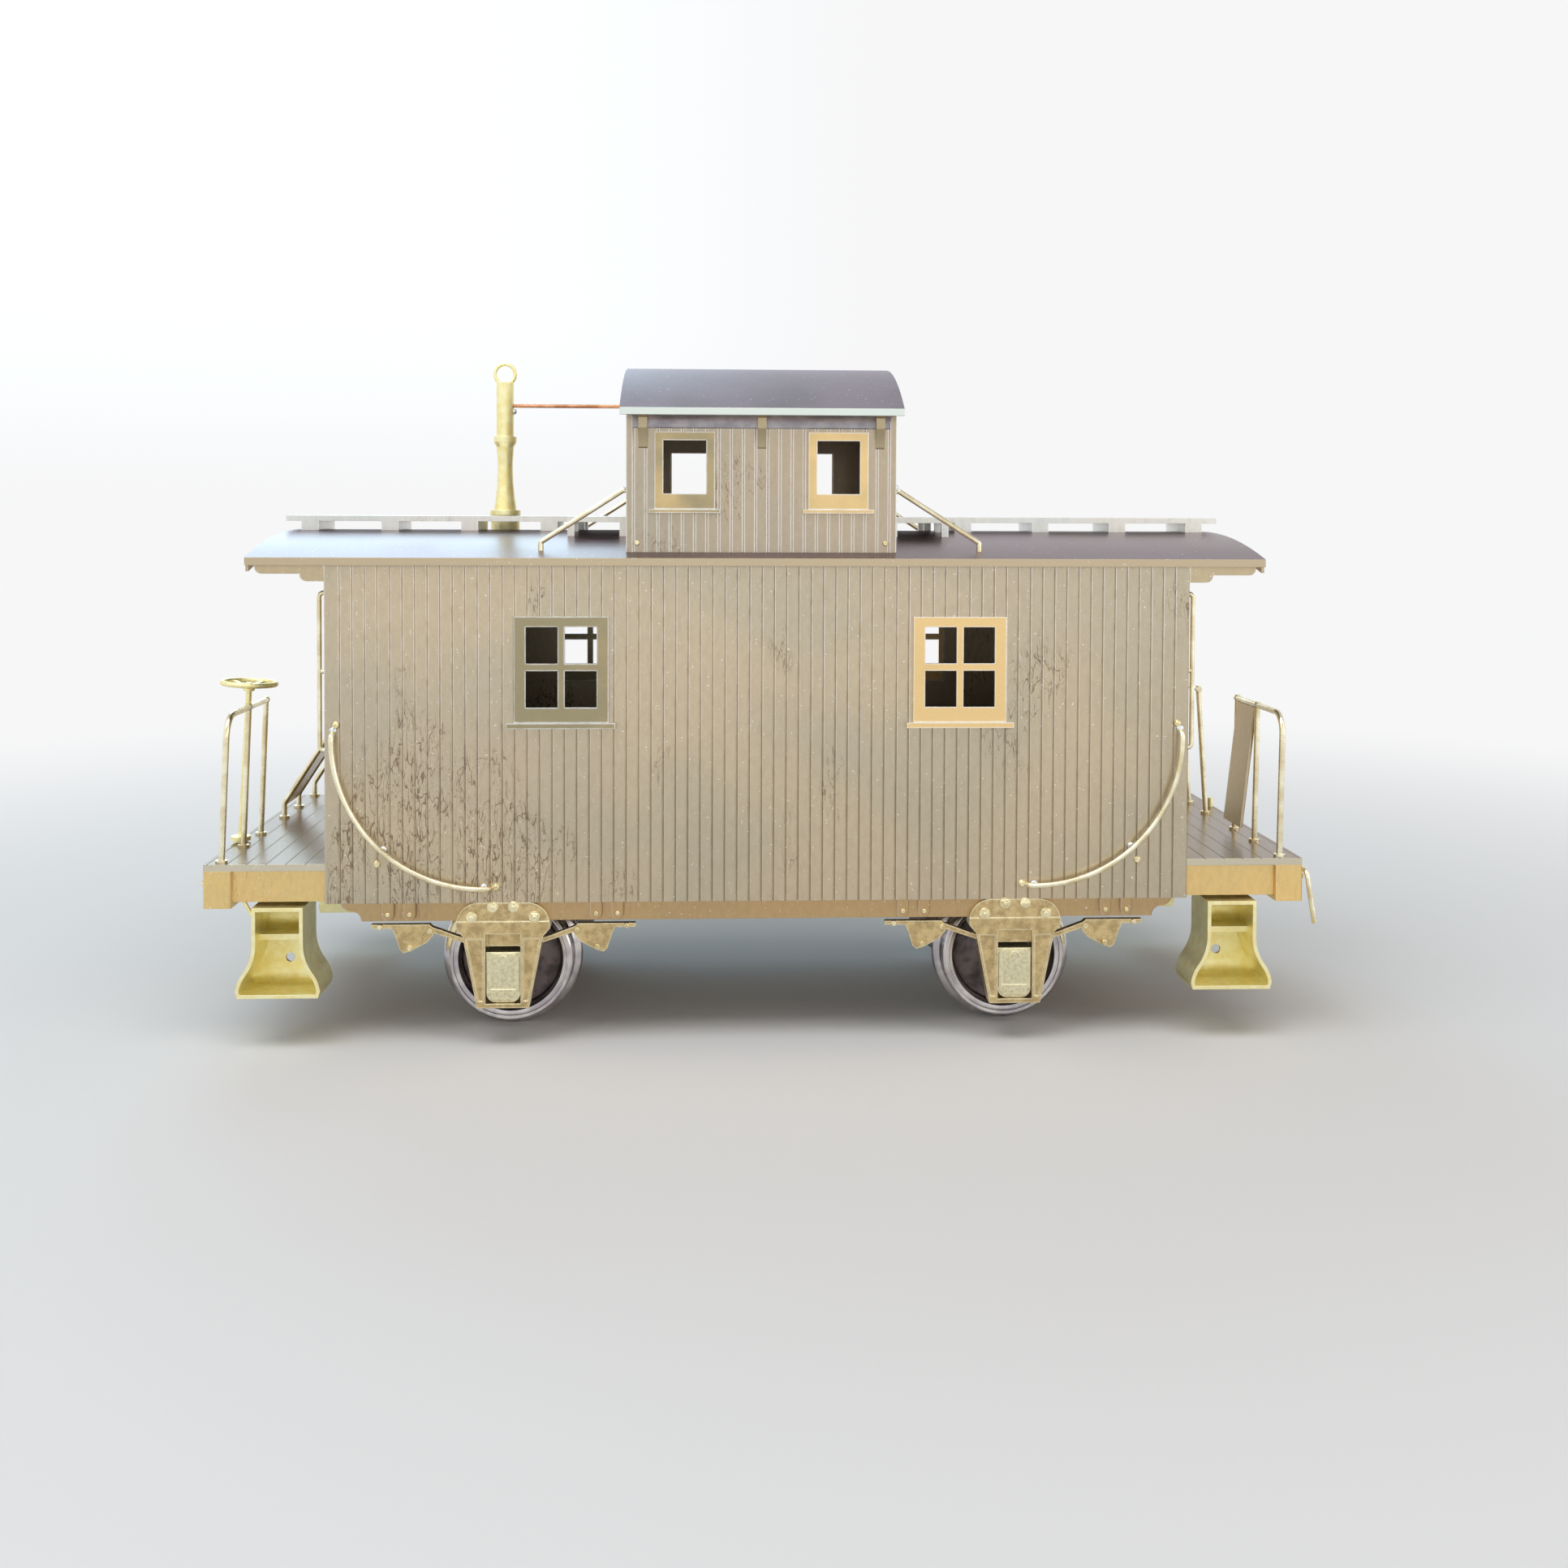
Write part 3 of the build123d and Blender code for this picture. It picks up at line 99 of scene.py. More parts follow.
class Nodes:
    """The nodes of one material or of the world."""

    def __init__(self, owner):
        owner.use_nodes = True
        self.owner = owner
        self.tree = owner.node_tree
        self.tree.nodes.clear()

    def add(self, kind, settings=None, sockets=None, out=0):
        """Adds a node, sets it up and fills its sockets; gives the Value of one of its outputs."""
        node = self.tree.nodes.new(kind)
        for name, value in (settings or {}).items():
            setattr(node, name, value)
        for name, value in (sockets or {}).items():
            if isinstance(value, Value):
                self.tree.links.new(value.socket, node.inputs[name])
            elif isinstance(value, tuple) and node.inputs[name].type == "RGBA":
                node.inputs[name].default_value = (*value, 1.0)
            else:
                node.inputs[name].default_value = value
        return Value(self, node.outputs[out]) if len(node.outputs) else None

    def place(self, scale=(1.0, 1.0, 1.0)):
        """Object coordinates in millimetres, scaled."""
        here = self.add("ShaderNodeTexCoord", out="Object")
        return self.add("ShaderNodeMapping", {}, {0: here, 3: tuple(s / mm for s in scale)})

    def component(self, vector, axis):
        """One of the three numbers of a vector."""
        return self.add("ShaderNodeSeparateXYZ", {}, {0: vector}, out=axis)

    def along(self, axis):
        """The distance along one axis in millimetres."""
        return self.component(self.place(), axis)

    def grain(self, size, scale=(1.0, 1.0, 1.0), detail=3.0, warp=0.0, rough=0.5):
        """Fractal noise from 0 to 1 with lumps of about the given size in millimetres."""
        sockets = {"Vector": self.place(tuple(s / size for s in scale)), "Scale": 1.0, "Detail": detail,
                   "Roughness": rough, "Distortion": warp}
        return self.add("ShaderNodeTexNoise", {}, sockets)

    def seen(self):
        """1 for what the camera sees, straight, mirrored or through glass, and 0 for scattered light."""
        return sum(self.add("ShaderNodeLightPath", out=f"Is {kind} Ray")
                   for kind in ("Camera", "Glossy", "Transmission")).fade(0.0, 1.0)

    def mix(self, factor, first, second, blend="MIX"):
        """A colour between two colours."""
        settings = {"data_type": "RGBA", "blend_type": blend}
        return self.add("ShaderNodeMix", settings, {0: factor, 6: first, 7: second}, out=2)

    def over(self, factor, first, second):
        """A second shader over the first."""
        return self.add("ShaderNodeMixShader", {}, {0: factor, 1: first, 2: second})

    def bump(self, height, depth, normal=None):
        """Surface relief of the given depth in millimetres where the height goes from 0 to 1."""
        sockets = {"Height": height, "Distance": depth * mm, "Strength": 1.0}
        if normal:
            sockets["Normal"] = normal
        return self.add("ShaderNodeBump", {}, sockets)

    def soft_edges(self, radius):
        """Normals that round every edge by a radius in millimetres."""
        return self.add("ShaderNodeBevel", {"samples": 4}, {0: radius * mm})

    def flat_normal(self):
        """The normal of the face itself, without bumps or soft edges."""
        return self.add("ShaderNodeNewGeometry", out="True Normal")

    def facing(self, axis):
        """How far a face looks along an axis, from -1 to 1."""
        return self.component(self.flat_normal(), axis)

    def side_of_edge(self, radius):
        """Above 0 on one side of upright grooves and corners and below 0 on the other, over a width."""
        across = self.add("ShaderNodeVectorMath", {"operation": "CROSS_PRODUCT"},
                          {0: self.soft_edges(radius), 1: self.flat_normal()})
        return self.component(across, 2)

    def edges(self, radius):
        """1 along the edges, over a width in millimetres, and 0 on the flats."""
        along = self.add("ShaderNodeVectorMath", {"operation": "DOT_PRODUCT"},
                         {0: self.flat_normal(), 1: self.soft_edges(radius)}, out=1)
        return along.fade(0.90, 0.995, 1.0, 0.0)

    def surface(self, **sockets):
        """Ends a material in one shader with these sockets, and gives the material."""
        named = {name.replace("_", " "): value for name, value in sockets.items()}
        self.add("ShaderNodeOutputMaterial", {}, {0: self.add("ShaderNodeBsdfPrincipled", {}, named)})
        return self.owner


# Floor and light: a plain pale floor that fades into a pale room, which the metal mirrors. Large soft lamps
# stand high on the left and overhead, weaker ones on the right and behind the camera, and a bluish one at
# the back left, where the room is brightest, as if by a window, and where the level tops get their shine.
floor_size = 3.0
floor_colour = (0.78, 0.77, 0.765)
room_colour = (0.93, 0.93, 0.935)
floor_fade = (60.0, 380.0)
room_high = (0.50, 0.52, 0.56)
ceiling_fade = (0.30, 0.9)
room_window = (1.0, 1.03, 1.07)
window_right = (-0.15, 0.12)
window_back = (0.35, 0.75)
window_sill = (0.0, 0.12)
room_light = 0.48

bm = bmesh.new()
bmesh.ops.create_circle(bm, cap_ends=True, segments=64, radius=floor_size)
floor_mesh = bpy.data.meshes.new("floor")
bm.to_mesh(floor_mesh)
bm.free()
floor = bpy.data.objects.new("floor", floor_mesh)
bpy.context.scene.collection.objects.link(floor)
n = Nodes(bpy.data.materials.new("pale floor"))
away = n.add("ShaderNodeVectorMath", {"operation": "LENGTH"}, {0: n.place()}, out=1)
plain = n.add("ShaderNodeBsdfDiffuse", {}, {0: floor_colour})
far = n.add("ShaderNodeEmission", {}, {0: room_colour, 1: 1.0})
n.add("ShaderNodeOutputMaterial", {}, {0: n.over(away.fade(*floor_fade) * n.seen(), plain, far)})
floor_mesh.materials.append(n.owner)

world = bpy.data.worlds.new("room")
bpy.context.scene.world = world
n = Nodes(world)
direction = n.add("ShaderNodeTexCoord", out="Generated")
right, back, up = (n.component(direction, axis) for axis in range(3))
pane = right.fade(*window_right, 1.0, 0.0) * back.fade(*window_back) * up.fade(*window_sill)
glow = n.mix(up.fade(*ceiling_fade), n.mix(pane, room_colour, room_window), room_high)
scattered = n.add("ShaderNodeBackground", {}, {0: glow, 1: room_light})
backdrop = n.add("ShaderNodeBackground", {}, {0: glow, 1: 1.0})
n.add("ShaderNodeOutputWorld", {}, {0: n.over(n.seen(), scattered, backdrop)})

# name, place, width and height of the panel in metres, power in watts, colour
lamps = (
    ("window", (-0.35, -0.25, 0.55), (0.45, 0.45), 1.3, (0.88, 0.94, 1.0)),
    ("right fill", (0.50, -0.30, 0.20), (0.35, 0.45), 0.5, (1.0, 0.90, 0.78)),
    ("front fill", (0.06, -0.66, 0.15), (0.60, 0.30), 0.10, (1.0, 0.97, 0.93)),
    ("overhead", (0.02, -0.28, 0.62), (0.60, 0.30), 1.6, (1.0, 0.98, 0.94)),
    ("back light", (-0.17, 0.46, 0.36), (0.28, 0.42), 0.9, (0.55, 0.84, 1.0)),
)
aim = Vector((0.0, 0.0, 0.045))
for lamp_name, place, (width, height), power, tint in lamps:
    lamp = bpy.data.lights.new(lamp_name, "AREA")
    lamp.shape = "RECTANGLE"
    lamp.size = width
    lamp.size_y = height
    lamp.energy = power
    lamp.color = tint
    holder = bpy.data.objects.new(lamp_name, lamp)
    facing = (aim - Vector(place)).to_track_quat("-Z", "Y").to_matrix().to_4x4()
    holder.matrix_world = Matrix.Translation(place) @ facing
    holder.visible_camera = False
    bpy.context.scene.collection.objects.link(holder)

# Siding and walls: rolled brass sheet, scribed into boards, its old lacquer crazed and stained with fine
# brown crawling lines, thickest low down at the left. Each scribed groove has a painted shade on its left
# flank and a painted highlight on the edge right of it, the highlight stronger upwards; on the cupola the
# grooves carry a painted highlight all over.
brass_tan = (0.62, 0.51, 0.345)
brass_olive = (0.55, 0.475, 0.335)
brass_rose = (0.60, 0.475, 0.335)
stain_brown = (0.17, 0.10, 0.045)
dust_pale = (0.86, 0.84, 0.78)
groove_painted_shade = (0.26, 0.18, 0.09)
groove_painted_highlight = (0.98, 0.97, 0.92)
groove_width = 0.22
groove_height = (30.0, 58.0)
cupola_height = (64.0, 67.0)
half_body = 58.5
painted_shade_brown = (0.40, 0.27, 0.16)
tarnish_size = 24.0
patch_size = 11.0
speck_size = 0.35
crazing_sizes = ((1.2, 0.26, 0.030), (0.6, 0.30, 0.026))
crazed_along = (-36.0, -2.0)
crazed_height = (34.0, 54.0)


def crawl(n, size, stretch, width):
    """Thin crawling lines: the contour of a noise at its middle value."""
    level = n.grain(size, (1.0, 1.0, stretch), detail=2.5, warp=0.7)
    return abs(level - 0.5).fade(0.0, width, 1.0, 0.0)


def sheet_brass(name, tint, stain, roughness, dull=0.0):
    """Lacquered brass sheet with tarnish, stains, dust, and painted shade and highlight on the groove flanks;
    painted shade between the ends.
    """
    n = Nodes(bpy.data.materials.new(name))
    height = n.along(2)
    cloud = n.grain(tarnish_size, detail=4.0)
    colour = n.mix(cloud.fade(0.38, 0.62), brass_olive, brass_tan)
    rose = n.grain(9.0, (1.0, 1.0, 0.35))
    colour = n.mix(rose.fade(0.48, 0.72) * 0.5, colour, brass_rose)
    colour = n.mix(1.0, colour, tint, "MULTIPLY")
    # Painted shade: darker brown between the body's ends, where the siding overhangs.
    if dull:
        colour = n.mix(abs(n.along(0)).fade(half_body - 2.0, half_body + 1.0, dull, 0.0), colour, painted_shade_brown)
    mottle = n.grain(0.7, (1.0, 1.0, 0.5), detail=4.0, rough=0.7)
    colour = n.mix(mottle.fade(0.35, 0.7) * 0.10, colour, stain_brown)

    coarse, fine = (crawl(n, *sizes) for sizes in crazing_sizes)
    crazed = n.along(0).fade(*crazed_along, 1.0, 0.0) * height.fade(*crazed_height, 1.0, 0.12)
    patches = n.grain(patch_size, (1.0, 1.0, 0.6)) + crazed * 0.17 - 0.075
    marks = ((coarse + fine * 0.7) * patches.fade(0.50, 0.66) * stain).fade(0.0, 1.0)
    colour = n.mix(marks * 0.75, colour, stain_brown)

    # Painted shade on the left flank of each groove and a painted highlight on the edge right of it, stronger
    # upwards.
    side = n.side_of_edge(groove_width)
    dark = (side * -1.0).fade(0.08, 0.35) * height.fade(*groove_height, 0.85, 0.4)
    groove_highlight = n.grain(0.8, (1.0, 1.0, 0.4)).fade(0.30, 0.60, 0.4, 1.0) * height.fade(*groove_height, 0.30, 1.0)
    colour = n.mix(dark, colour, groove_painted_shade)
    colour = n.mix(side.fade(0.02, 0.14) * groove_highlight, colour, groove_painted_highlight)
    # Painted highlight along the cupola's grooves.
    colour = n.mix(abs(side).fade(0.05, 0.2) * height.fade(*cupola_height), colour, groove_painted_highlight)
    specks = n.grain(speck_size, detail=1.0).fade(0.72, 0.78)
    colour = n.mix(specks * 0.8, colour, dust_pale)

    skin = n.grain(0.25, detail=2.0)
    rolled = n.grain(0.5, (1.0, 1.0, 0.06), detail=2.0)
    rough = (cloud - 0.5) * 0.25 + marks * 0.2 + (rolled - 0.5) * 0.1 + roughness
    normal = n.bump(skin * 0.6 + rolled * 0.4 - marks * 0.5, 0.012, n.soft_edges(0.06))
    return n.surface(Base_Color=colour, Metallic=0.92, Roughness=rough, Normal=normal, Coat_Weight=0.25,
                     Coat_Roughness=0.22)


def dress(material, names):
    """Gives CAD pieces one material."""
    for name in names:
        nodes[name].data.materials.clear()
        nodes[name].data.materials.append(material)


dress(sheet_brass("lacquered sheet brass", (0.98, 1.0, 1.04), 1.0, 0.35),
      ("siding_front", "siding_back", "end_wall_left", "end_wall_right"))
dress(sheet_brass("brown sheet brass", (0.84, 0.85, 0.92), 1.0, 0.36),
      ("cupola_side_front", "cupola_side_back", "cupola_end_left", "cupola_end_right"))

# Flat fittings cut from plainer sheet and strip: doors and plates, roof boards tinted pale and bluish as a
# painted reflection of the sky, and the sills and end beams in a more golden strip with painted shade between
# the body's ends.
dress(sheet_brass("plain strip brass", (1.05, 1.0, 0.90), 0.35, 0.34),
      ("centre_sill", "end_door_left", "end_door_right", "eave_brackets", "rail_plate_left",
       "rail_plate_right"))
# Painted reflection of the sky: the roof boards tinted pale and bluish.
dress(sheet_brass("strip brass with painted sky reflection", (1.35, 1.62, 2.2), 0.35, 0.38),
      ("roofwalk_left", "roofwalk_right", "lateral_boards"))
# Sills and end beams: painted shade along their middle between the body's ends.
dress(sheet_brass("golden strip brass", (1.48, 1.27, 0.76), 0.3, 0.34, dull=0.7),
      ("side_sill_front", "side_sill_back", "end_beam_left", "end_beam_right"))

# Window frames: etched sheet, with painted light making them golden at the right and duller at the left,
# rims pale from wear and a painted highlight, and a painted reflection of the sky on the sill boards.
frame_gold_painted_light = (0.86, 0.62, 0.29)
frame_dull_painted_shade = (0.36, 0.31, 0.19)
pale_wear_and_painted_sheen = (0.90, 0.93, 0.95)

n = Nodes(bpy.data.materials.new("golden window brass"))
cloud = n.grain(7.0, detail=4.0)
# Painted light: duller at the left and golden at the right, in blotches.
colour = n.mix(((cloud - 0.5) * 60.0 + n.along(0)).fade(-26.0, 24.0), frame_dull_painted_shade, frame_gold_painted_light)
# Rims paler from wear and a painted highlight.
colour = n.mix(n.edges(0.32) * n.grain(1.5).fade(0.25, 0.6, 0.5, 1.0), colour, pale_wear_and_painted_sheen)
# Painted reflection of the sky: level tops such as the sill boards paler.
colour = n.mix(n.facing(2).fade(0.5, 0.9) * 0.9, colour, pale_wear_and_painted_sheen)
fine = n.grain(0.3, detail=3.0)
dress(n.surface(Base_Color=colour, Metallic=0.95, Roughness=(fine - 0.5) * 0.3 + 0.33,
                Normal=n.bump(fine, 0.02, n.soft_edges(0.06))),
      ("window_frames_front", "window_frames_back", "end_window_frames", "cupola_frames_front",
       "cupola_frames_back", "cupola_end_frames"))

# Castings: lost-wax brass, finely grained, browner in lumps, and along the edges bright from wear and a
# painted highlight. The end steps, smokejack and brake wheel are yellow, the pedestals tan and the journal
# boxes sandy.
edge_wear_and_painted_highlight = (1.0, 0.94, 0.66)


def cast_brass(name, low, high, shine, rim=0.20, lump=1.3, relief=0.05):
    """Cast brass between two colours in lumps, with rims bright from wear and a painted highlight, and a sandy
    skin; widths in millimetres.
    """
    n = Nodes(bpy.data.materials.new(name))
    colour = n.mix(n.grain(lump, detail=4.0, rough=0.6).fade(0.34, 0.64), low, high)
    # Rims brighter from wear and a painted highlight.
    colour = n.mix(n.edges(rim) * 0.85, colour, edge_wear_and_painted_highlight)
    sand = n.grain(0.22, rough=0.65)
    lumps = n.grain(1.1, detail=2.0)
    rough = (sand - 0.5) * 0.35 + shine
    normal = n.bump(sand * 0.5 + lumps * 0.8, relief, n.soft_edges(0.10))
    return n.surface(Base_Color=colour, Metallic=0.95, Roughness=rough, Normal=normal)


dress(cast_brass("tan cast brass", (0.50, 0.37, 0.18), (0.74, 0.57, 0.29), 0.30, 0.32),
      [name for name in nodes if name.startswith("pedestal")])
dress(cast_brass("sandy cast brass", (0.66, 0.60, 0.38), (0.86, 0.82, 0.58), 0.34, 0.34, 0.45, 0.06),
      [name for name in nodes if name.startswith("journal_box")])
dress(cast_brass("yellow cast brass", (0.95, 0.83, 0.38), (1.0, 0.94, 0.56), 0.46),
      [name for name in nodes if name.startswith("step_") or name in ("smokejack", "brake_wheels")])

# Roofs and floor: smooth rolled sheet, darker and browner than the sides, the roofs with a mauve bloom, and
# their upright faces paler, tan on the main roof and floor and pale grey-green on the cupola. The cove under
# the cupola's eaves is grey with duller brackets.
fascia_tan = (0.55, 0.45, 0.30)
fascia_pale = (0.74, 0.81, 0.75)
floor_edge = (0.66, 0.60, 0.46)
cove_dark = (0.38, 0.36, 0.39)
cove_light = (0.52, 0.50, 0.52)
bracket_gold = (0.46, 0.38, 0.24)
bracket_places = (-16.1, 0.0, 16.1)
bracket_half = 0.6
facing_up = (0.25, 0.55)


def roof_sheet(name, brown, bloom, fascia, shine, coat):
    """Rolled roof sheet between two colours, its upright faces in a third."""
    n = Nodes(bpy.data.materials.new(name))
    cloud = n.grain(16.0, detail=4.0)
    colour = n.mix(cloud.fade(0.38, 0.62), brown, bloom)
    mottle = n.grain(0.6, detail=4.0, rough=0.7)
    colour = n.mix(mottle.fade(0.35, 0.7) * 0.3, colour, brown)
    colour = n.mix(abs(n.facing(2)).fade(*facing_up, 1.0, 0.0), colour, fascia)
    colour = n.mix(n.grain(speck_size, detail=1.0).fade(0.72, 0.78) * 0.7, colour, dust_pale)
    scratches = n.grain(0.8, (0.12, 1.0, 1.0), detail=3.0)
    return n.surface(Base_Color=colour, Metallic=0.92, Roughness=(cloud - 0.5) * 0.2 + shine,
                     Normal=n.bump(scratches, 0.008, n.soft_edges(0.08)), Coat_Weight=coat,
                     Coat_Roughness=0.2)


dress(roof_sheet("main roof brass", (0.21, 0.15, 0.155), (0.27, 0.195, 0.225), fascia_tan, 0.34, 0.15),
      ["main_roof"])
dress(roof_sheet("cupola roof brass", (0.30, 0.27, 0.285), (0.36, 0.31, 0.35), fascia_pale, 0.50, 0.0),
      ["cupola_roof"])
dress(roof_sheet("floor brass", (0.19, 0.135, 0.09), (0.26, 0.19, 0.13), floor_edge, 0.27, 0.15),
      ["floor_deck"])

n = Nodes(bpy.data.materials.new("cove brass"))
cloud = n.grain(2.0, detail=4.0)
colour = n.mix(cloud.fade(0.35, 0.65), cove_dark, cove_light)
for along in bracket_places:
    near = abs(n.along(0) - along).fade(bracket_half, bracket_half + 0.05, 1.0, 0.0)
    colour = n.mix(near, colour, bracket_gold)
dress(n.surface(Base_Color=colour, Metallic=0.92, Roughness=(cloud - 0.5) * 0.2 + 0.32,
                Normal=n.bump(cloud, 0.02, n.soft_edges(0.10))), ["eave_coves"])

# Wire: pale drawn brass, bent and soldered in, for the handrails, grab irons, railings and levers, and bare
# copper for the smokejack's brace.
wire_dull = (0.76, 0.66, 0.42)
wire_bright = (0.95, 0.90, 0.68)
copper_dark = (0.44, 0.20, 0.10)
copper_bright = (0.74, 0.38, 0.22)


def drawn_wire(name, dull, bright):
    """Drawn wire, a little tarnished in patches."""
    n = Nodes(bpy.data.materials.new(name))
    drawn = n.grain(0.5)
    return n.surface(Base_Color=n.mix(n.grain(3.0).fade(0.35, 0.65), dull, bright), Metallic=1.0,
                     Roughness=(drawn - 0.5) * 0.25 + 0.24, Normal=n.bump(drawn, 0.02))


dress(drawn_wire("drawn brass wire", wire_dull, wire_bright),
      [name for name in nodes if name.startswith("railing")
       or name in ("corner_handrails", "cupola_handrails", "grab_irons", "uncoupling_levers")])
dress(drawn_wire("bare copper wire", copper_dark, copper_bright), ["jack_brace"])

# Wheels: turned and plated, with a stepped rim round a dark dished plate and a hub. Each is spun about
# its axle from one outline of (radius, distance from the middle of the car), in millimetres.
wheelbase = 69.6
axle_height = 9.85
rim_inside = 7.0
wheel_steps = 96
wheel_outline = (
    (2.39, 18.95), (3.0, 18.95), (3.3, 18.65), (3.32, 17.6), (3.75, 17.22),
    (6.5, 16.62), (6.85, 16.75), (7.02, 17.1), (7.08, 18.1), (7.35, 18.45),
    (7.75, 18.5), (7.8, 18.38), (7.98, 18.38), (8.03, 18.58), (8.42, 18.62), (8.6, 18.48),
    (8.72, 16.3), (8.82, 16.05), (9.1, 15.9), (9.55, 15.68), (9.8, 15.45),
    (9.85, 15.25), (9.8, 15.08), (9.6, 14.95), (7.3, 14.95), (7.08, 15.15),
    (7.02, 15.5), (6.6, 15.62), (3.75, 16.28), (3.32, 16.0), (3.3, 14.9), (3.05, 14.65), (2.39, 14.65),
)

n = Nodes(bpy.data.materials.new("plated wheel rim"))
plating = n.grain(2.5)
rim_metal = n.surface(Base_Color=n.mix(plating.fade(0.35, 0.65), (0.50, 0.47, 0.50), (0.74, 0.71, 0.70)),
                      Metallic=1.0, Roughness=(plating - 0.5) * 0.15 + 0.17)
n = Nodes(bpy.data.materials.new("dark wheel plate"))
soot = n.grain(1.8)
plate_metal = n.surface(Base_Color=n.mix(soot.fade(0.35, 0.65), (0.07, 0.06, 0.06), (0.16, 0.13, 0.125)),
                        Metallic=0.9, Roughness=(soot - 0.5) * 0.2 + 0.36, Normal=n.bump(soot, 0.02))
dress(rim_metal, [name for name in nodes if name.startswith("axle_")])


def made(name, bm, materials, body, sharp=35.0):
    """A finished piece: smooth between its sharp edges, riding on a body and given its materials."""
    mesh = bpy.data.meshes.new(name)
    for face in bm.faces:
        face.smooth = True
    bm.to_mesh(mesh)
    bm.free()
    mesh.set_sharp_from_angle(angle=radians(sharp))
    for material in materials:
        mesh.materials.append(material)
    piece = bpy.data.objects.new(name, mesh)
    bpy.context.scene.collection.objects.link(piece)
    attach(piece, body)
    return piece


for end, along in (("left", -1), ("right", 1)):
    centre = Vector((along * wheelbase / 2, 0.0, axle_height)) * mm
    for side, across in (("front", -1), ("back", 1)):
        bm = bmesh.new()
        ring = [bm.verts.new(centre + Vector((radius, across * out, 0.0)) * mm)
                for radius, out in wheel_outline]
        edges = [bm.edges.new(pair) for pair in zip(ring, ring[1:] + ring[:1])]
        bmesh.ops.spin(bm, geom=ring + edges, cent=centre, axis=(0.0, 1.0, 0.0), angle=2 * pi,
                       steps=wheel_steps, use_merge=True)
        bmesh.ops.recalc_face_normals(bm, faces=bm.faces)
        for face in bm.faces:
            middle = face.calc_center_median() - centre
            face.material_index = int(Vector((middle.x, middle.z)).length < rim_inside * mm)
        wheel = made(f"turned_wheel_{end}_{side}", bm, (rim_metal, plate_metal), f"{end}_wheelset")
        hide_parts(f"wheel_{end}_{side}")

# Bolts on the pedestals: square nuts on round washers along the top plate, and plain heads on the hangers.
# Places are (distance from the axle, height).
half_width = 27.15
plate_bolts = ((-4.2, 17.9), (-1.4, 19.3), (1.4, 19.3), (4.2, 17.9))
hanger_bolts = ((12.6, 13.6), (9.9, 15.9), (16.6, 16.45))
hanger_face = 26.25
washer_radius = 0.8
washer_height = 0.12
nut_side = 0.92
nut_height = 0.42
stud_radius = 0.26
stud_height = 0.62
head_radius = 0.42
head_height = 0.3

bright_casting = cast_brass("bright bolts", (0.66, 0.52, 0.24), (0.98, 0.88, 0.58), 0.22)


def disc(bm, base, facing, radius, height, segments=16, top=1.0, spin=0.0):
    """A short cylinder or cone standing on a surface at the base, millimetres, along a direction."""
    towards = Vector(facing).to_track_quat("Z", "Y").to_matrix().to_4x4()
    place = Matrix.Translation(Vector(base) * mm) @ towards @ Matrix.Rotation(spin, 4, "Z")
    bmesh.ops.create_cone(bm, cap_ends=True, segments=segments, radius1=radius * mm, radius2=radius * top * mm,
                          depth=height * mm, matrix=place @ Matrix.Translation((0.0, 0.0, height * mm / 2)))


def nut_and_washer(bm, base, facing, spin):
    """A square nut on a washer with the end of its stud."""
    disc(bm, base, facing, washer_radius, washer_height, top=0.92)
    disc(bm, base, facing, nut_side / 2**0.5, nut_height, segments=4, top=0.9, spin=spin)
    disc(bm, base, facing, stud_radius, stud_height, segments=12, top=0.8)


bm = bmesh.new()
for across in (-1, 1):
    facing = (0.0, across, 0.0)
    for axle_x in (-wheelbase / 2, wheelbase / 2):
        for number, (along, height) in enumerate(plate_bolts):
            place = (axle_x + along, across * half_width, height)
            nut_and_washer(bm, place, facing, radians(20.0 + 35.0 * number))
        for out, height in hanger_bolts:
            for side in (-1, 1):
                disc(bm, (axle_x + side * out, across * hanger_face, height), facing, head_radius, head_height,
                     segments=12, top=0.8)
made("pedestal_bolts", bm, (bright_casting,), "car")

# Bolts on the body: a round head beside each foot of the curved handrails, four nuts on each end beam, a
# head on each strap's tip and one under each corner of the cupola's eaves. Places are (along, height), and
# on the beams (across, height).
rail_bolts = ((57.0, 43.9), (51.6, 25.2), (35.7, 22.0))
strap_offsets = (12.5, 15.4)
strap_bolt_height = 18.3
strap_face = 27.0
beam_end = 74.6
beam_bolts = ((26.0, 22.5), (9.8, 22.5))
cupola_half_width = 25.2
cupola_bolt = (16.9, 68.4)
# radius and height
rail_head = (0.55, 0.30)
rail_tip = (0.30, 0.20)
strap_head = (0.36, 0.26)
cupola_head = (0.40, 0.25)
beam_washer = (0.62, 0.15)
beam_nut = (0.42, 0.50)

bm = bmesh.new()
for across in (-1, 1):
    facing = (0.0, across, 0.0)
    for side in (-1, 1):
        for along, height in rail_bolts:
            disc(bm, (side * along, across * half_width, height), facing, *rail_head, top=0.7)
            disc(bm, (side * along, across * (half_width + 0.28), height), facing, *rail_tip, segments=6)
        for axle_x in (-wheelbase / 2, wheelbase / 2):
            for offset in strap_offsets:
                disc(bm, (axle_x + side * offset, across * strap_face, strap_bolt_height), facing, *strap_head,
                     segments=12, top=0.75)
        along, height = cupola_bolt
        disc(bm, (side * along, across * cupola_half_width, height), facing, *cupola_head, segments=12,
             top=0.7)
for end in (-1, 1):
    for across, height in beam_bolts:
        for side in (-1, 1):
            place = (end * beam_end, side * across, height)
            disc(bm, place, (end, 0.0, 0.0), *beam_washer)
            disc(bm, place, (end, 0.0, 0.0), *beam_nut, segments=6, top=0.9)
made("body_bolts", bm, (bright_casting,), "car")

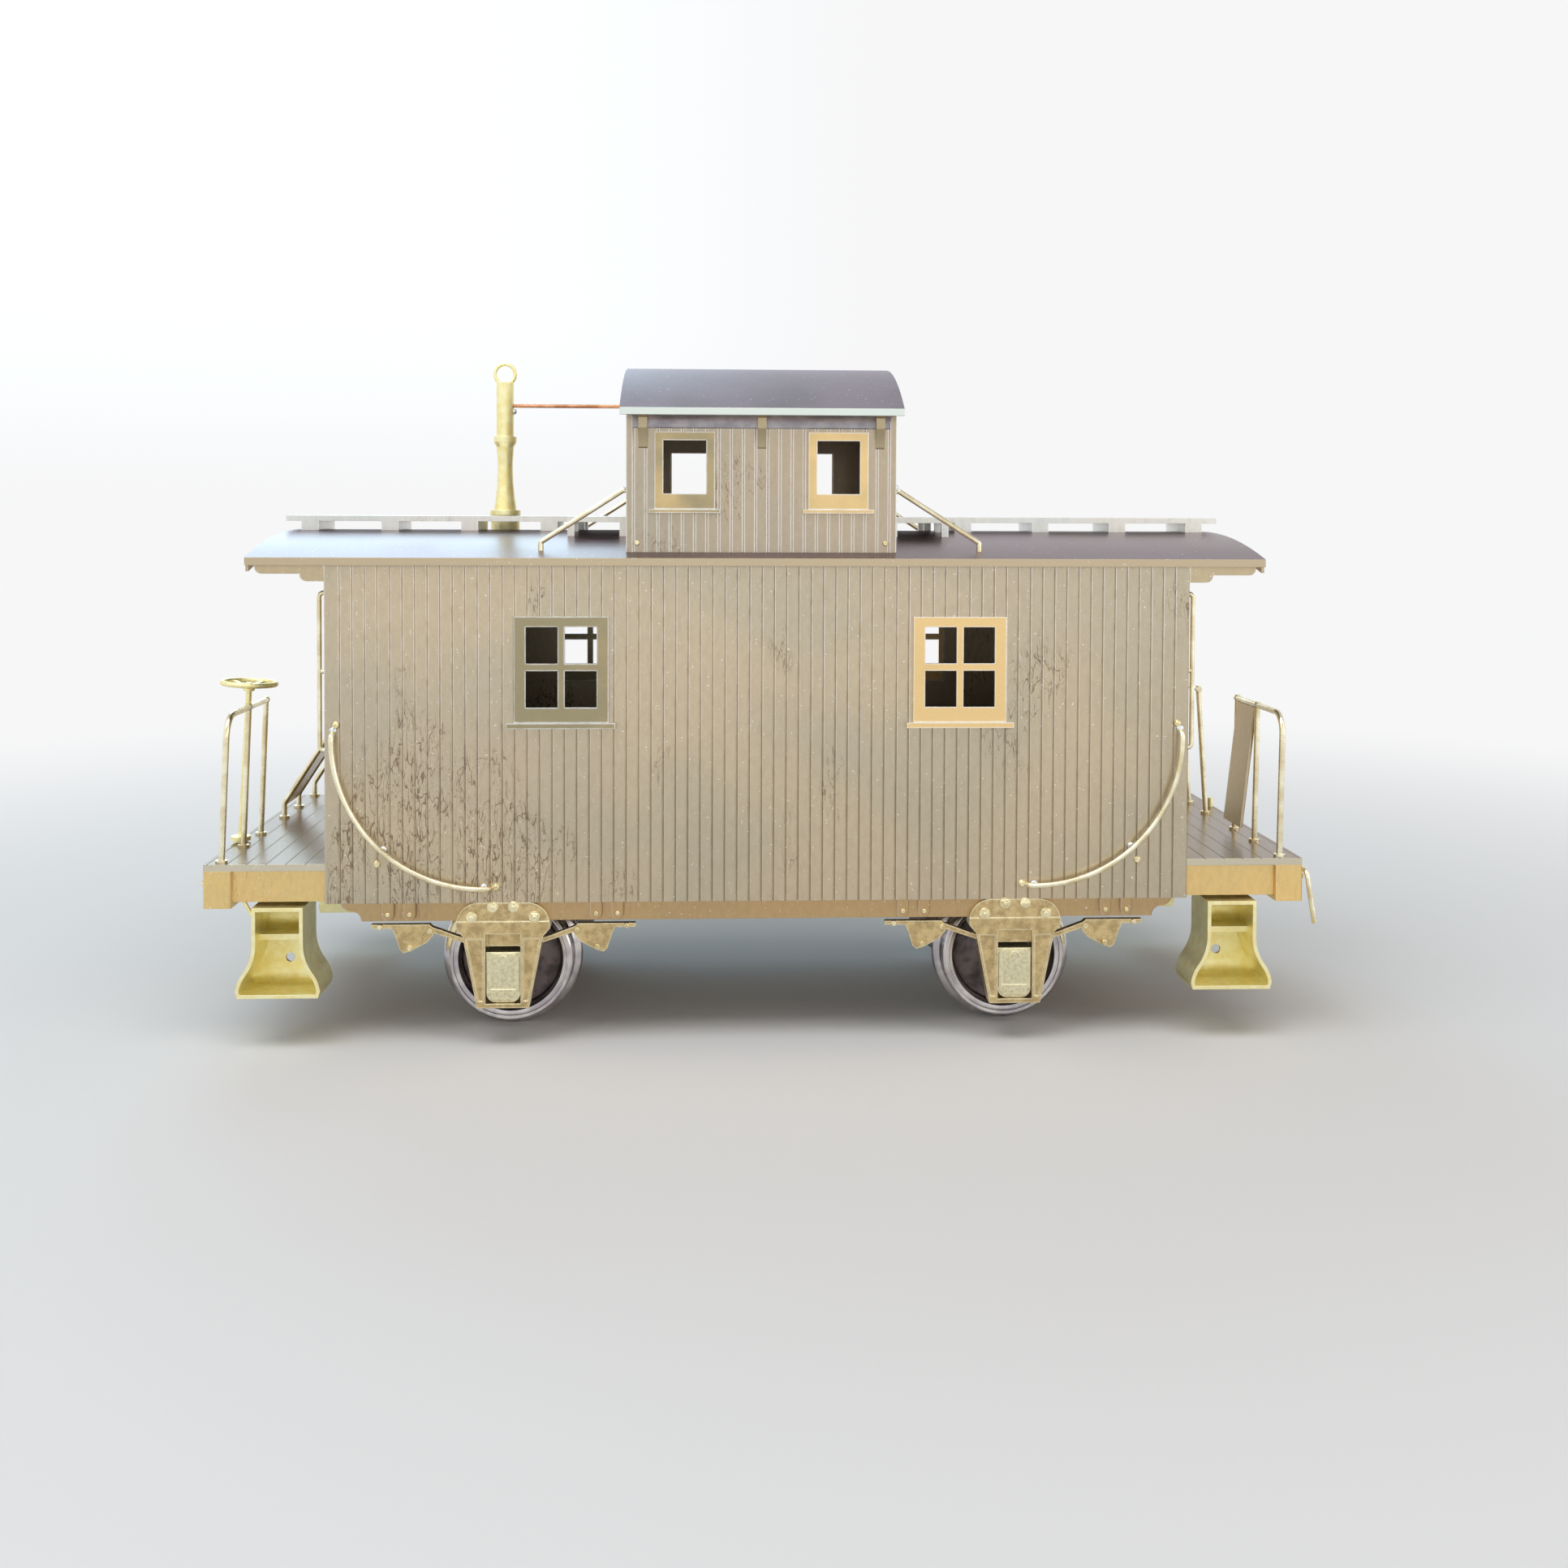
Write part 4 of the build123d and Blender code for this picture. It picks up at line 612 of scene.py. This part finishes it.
# Solder: small bluish blobs where the wires meet the posts, walls, roof and smokejack. The place of each
# railing's top is (end, side): (distance from the middle of the car, height).
railing_tops = {(-1, -1): (71.64, 44.98), (-1, 1): (62.9, 42.19), (1, -1): (72.08, 45.0),
                (1, 1): (70.02, 44.95)}
railing_posts = (15.5, 6.5)
rail_feet = ((57.35, 43.2), (37.35, 21.95), (50.73, 27.1))
iron_place = (58.5, 24.95)
iron_heights = (40.25, 50.9, 61.55)
jack_place = (-38.8, 8.7)
jack_brace_height = 88.05
cupola_end = 18.4
cupola_rail_top = 75.9
# half sizes of the drops
rail_drop = (0.5, 0.62, 0.5)
foot_drop = (0.58, 0.32, 0.55)
iron_drop = (0.3, 0.5, 0.5)
cupola_drop = (0.3, 0.55, 0.55)
jack_drop = (0.45, 0.5, 0.45)

n = Nodes(bpy.data.materials.new("solder"))
cloud = n.grain(0.6)
solder = n.surface(Base_Color=n.mix(cloud.fade(0.35, 0.65), (0.52, 0.56, 0.62), (0.80, 0.83, 0.87)),
                   Metallic=1.0, Roughness=(cloud - 0.5) * 0.2 + 0.26, Normal=n.bump(cloud, 0.05))


def blob(bm, place, size):
    """A drop of solder of the given half sizes, millimetres."""
    drop = bmesh.ops.create_icosphere(bm, subdivisions=2, radius=1.0)["verts"]
    bmesh.ops.scale(bm, vec=Vector(size) * mm, verts=drop)
    bmesh.ops.translate(bm, vec=Vector(place) * mm, verts=drop)


bm = bmesh.new()
for end in (-1, 1):
    for across in (-1, 1):
        rail_x, rail_z = railing_tops[end, across]
        for post in railing_posts:
            blob(bm, (end * rail_x, across * post, rail_z), rail_drop)
        for along, height in rail_feet:
            blob(bm, (end * along, across * (half_width + 0.1), height), foot_drop)
        for height in iron_heights:
            blob(bm, (end * (iron_place[0] + 0.1), across * iron_place[1], height), iron_drop)
        blob(bm, (end * (cupola_end + 0.1), across * (cupola_half_width - 1.1), cupola_rail_top), cupola_drop)
blob(bm, (jack_place[0] + 1.4, jack_place[1], jack_brace_height), jack_drop)
made("solder_joints", bm, (solder,), "car")
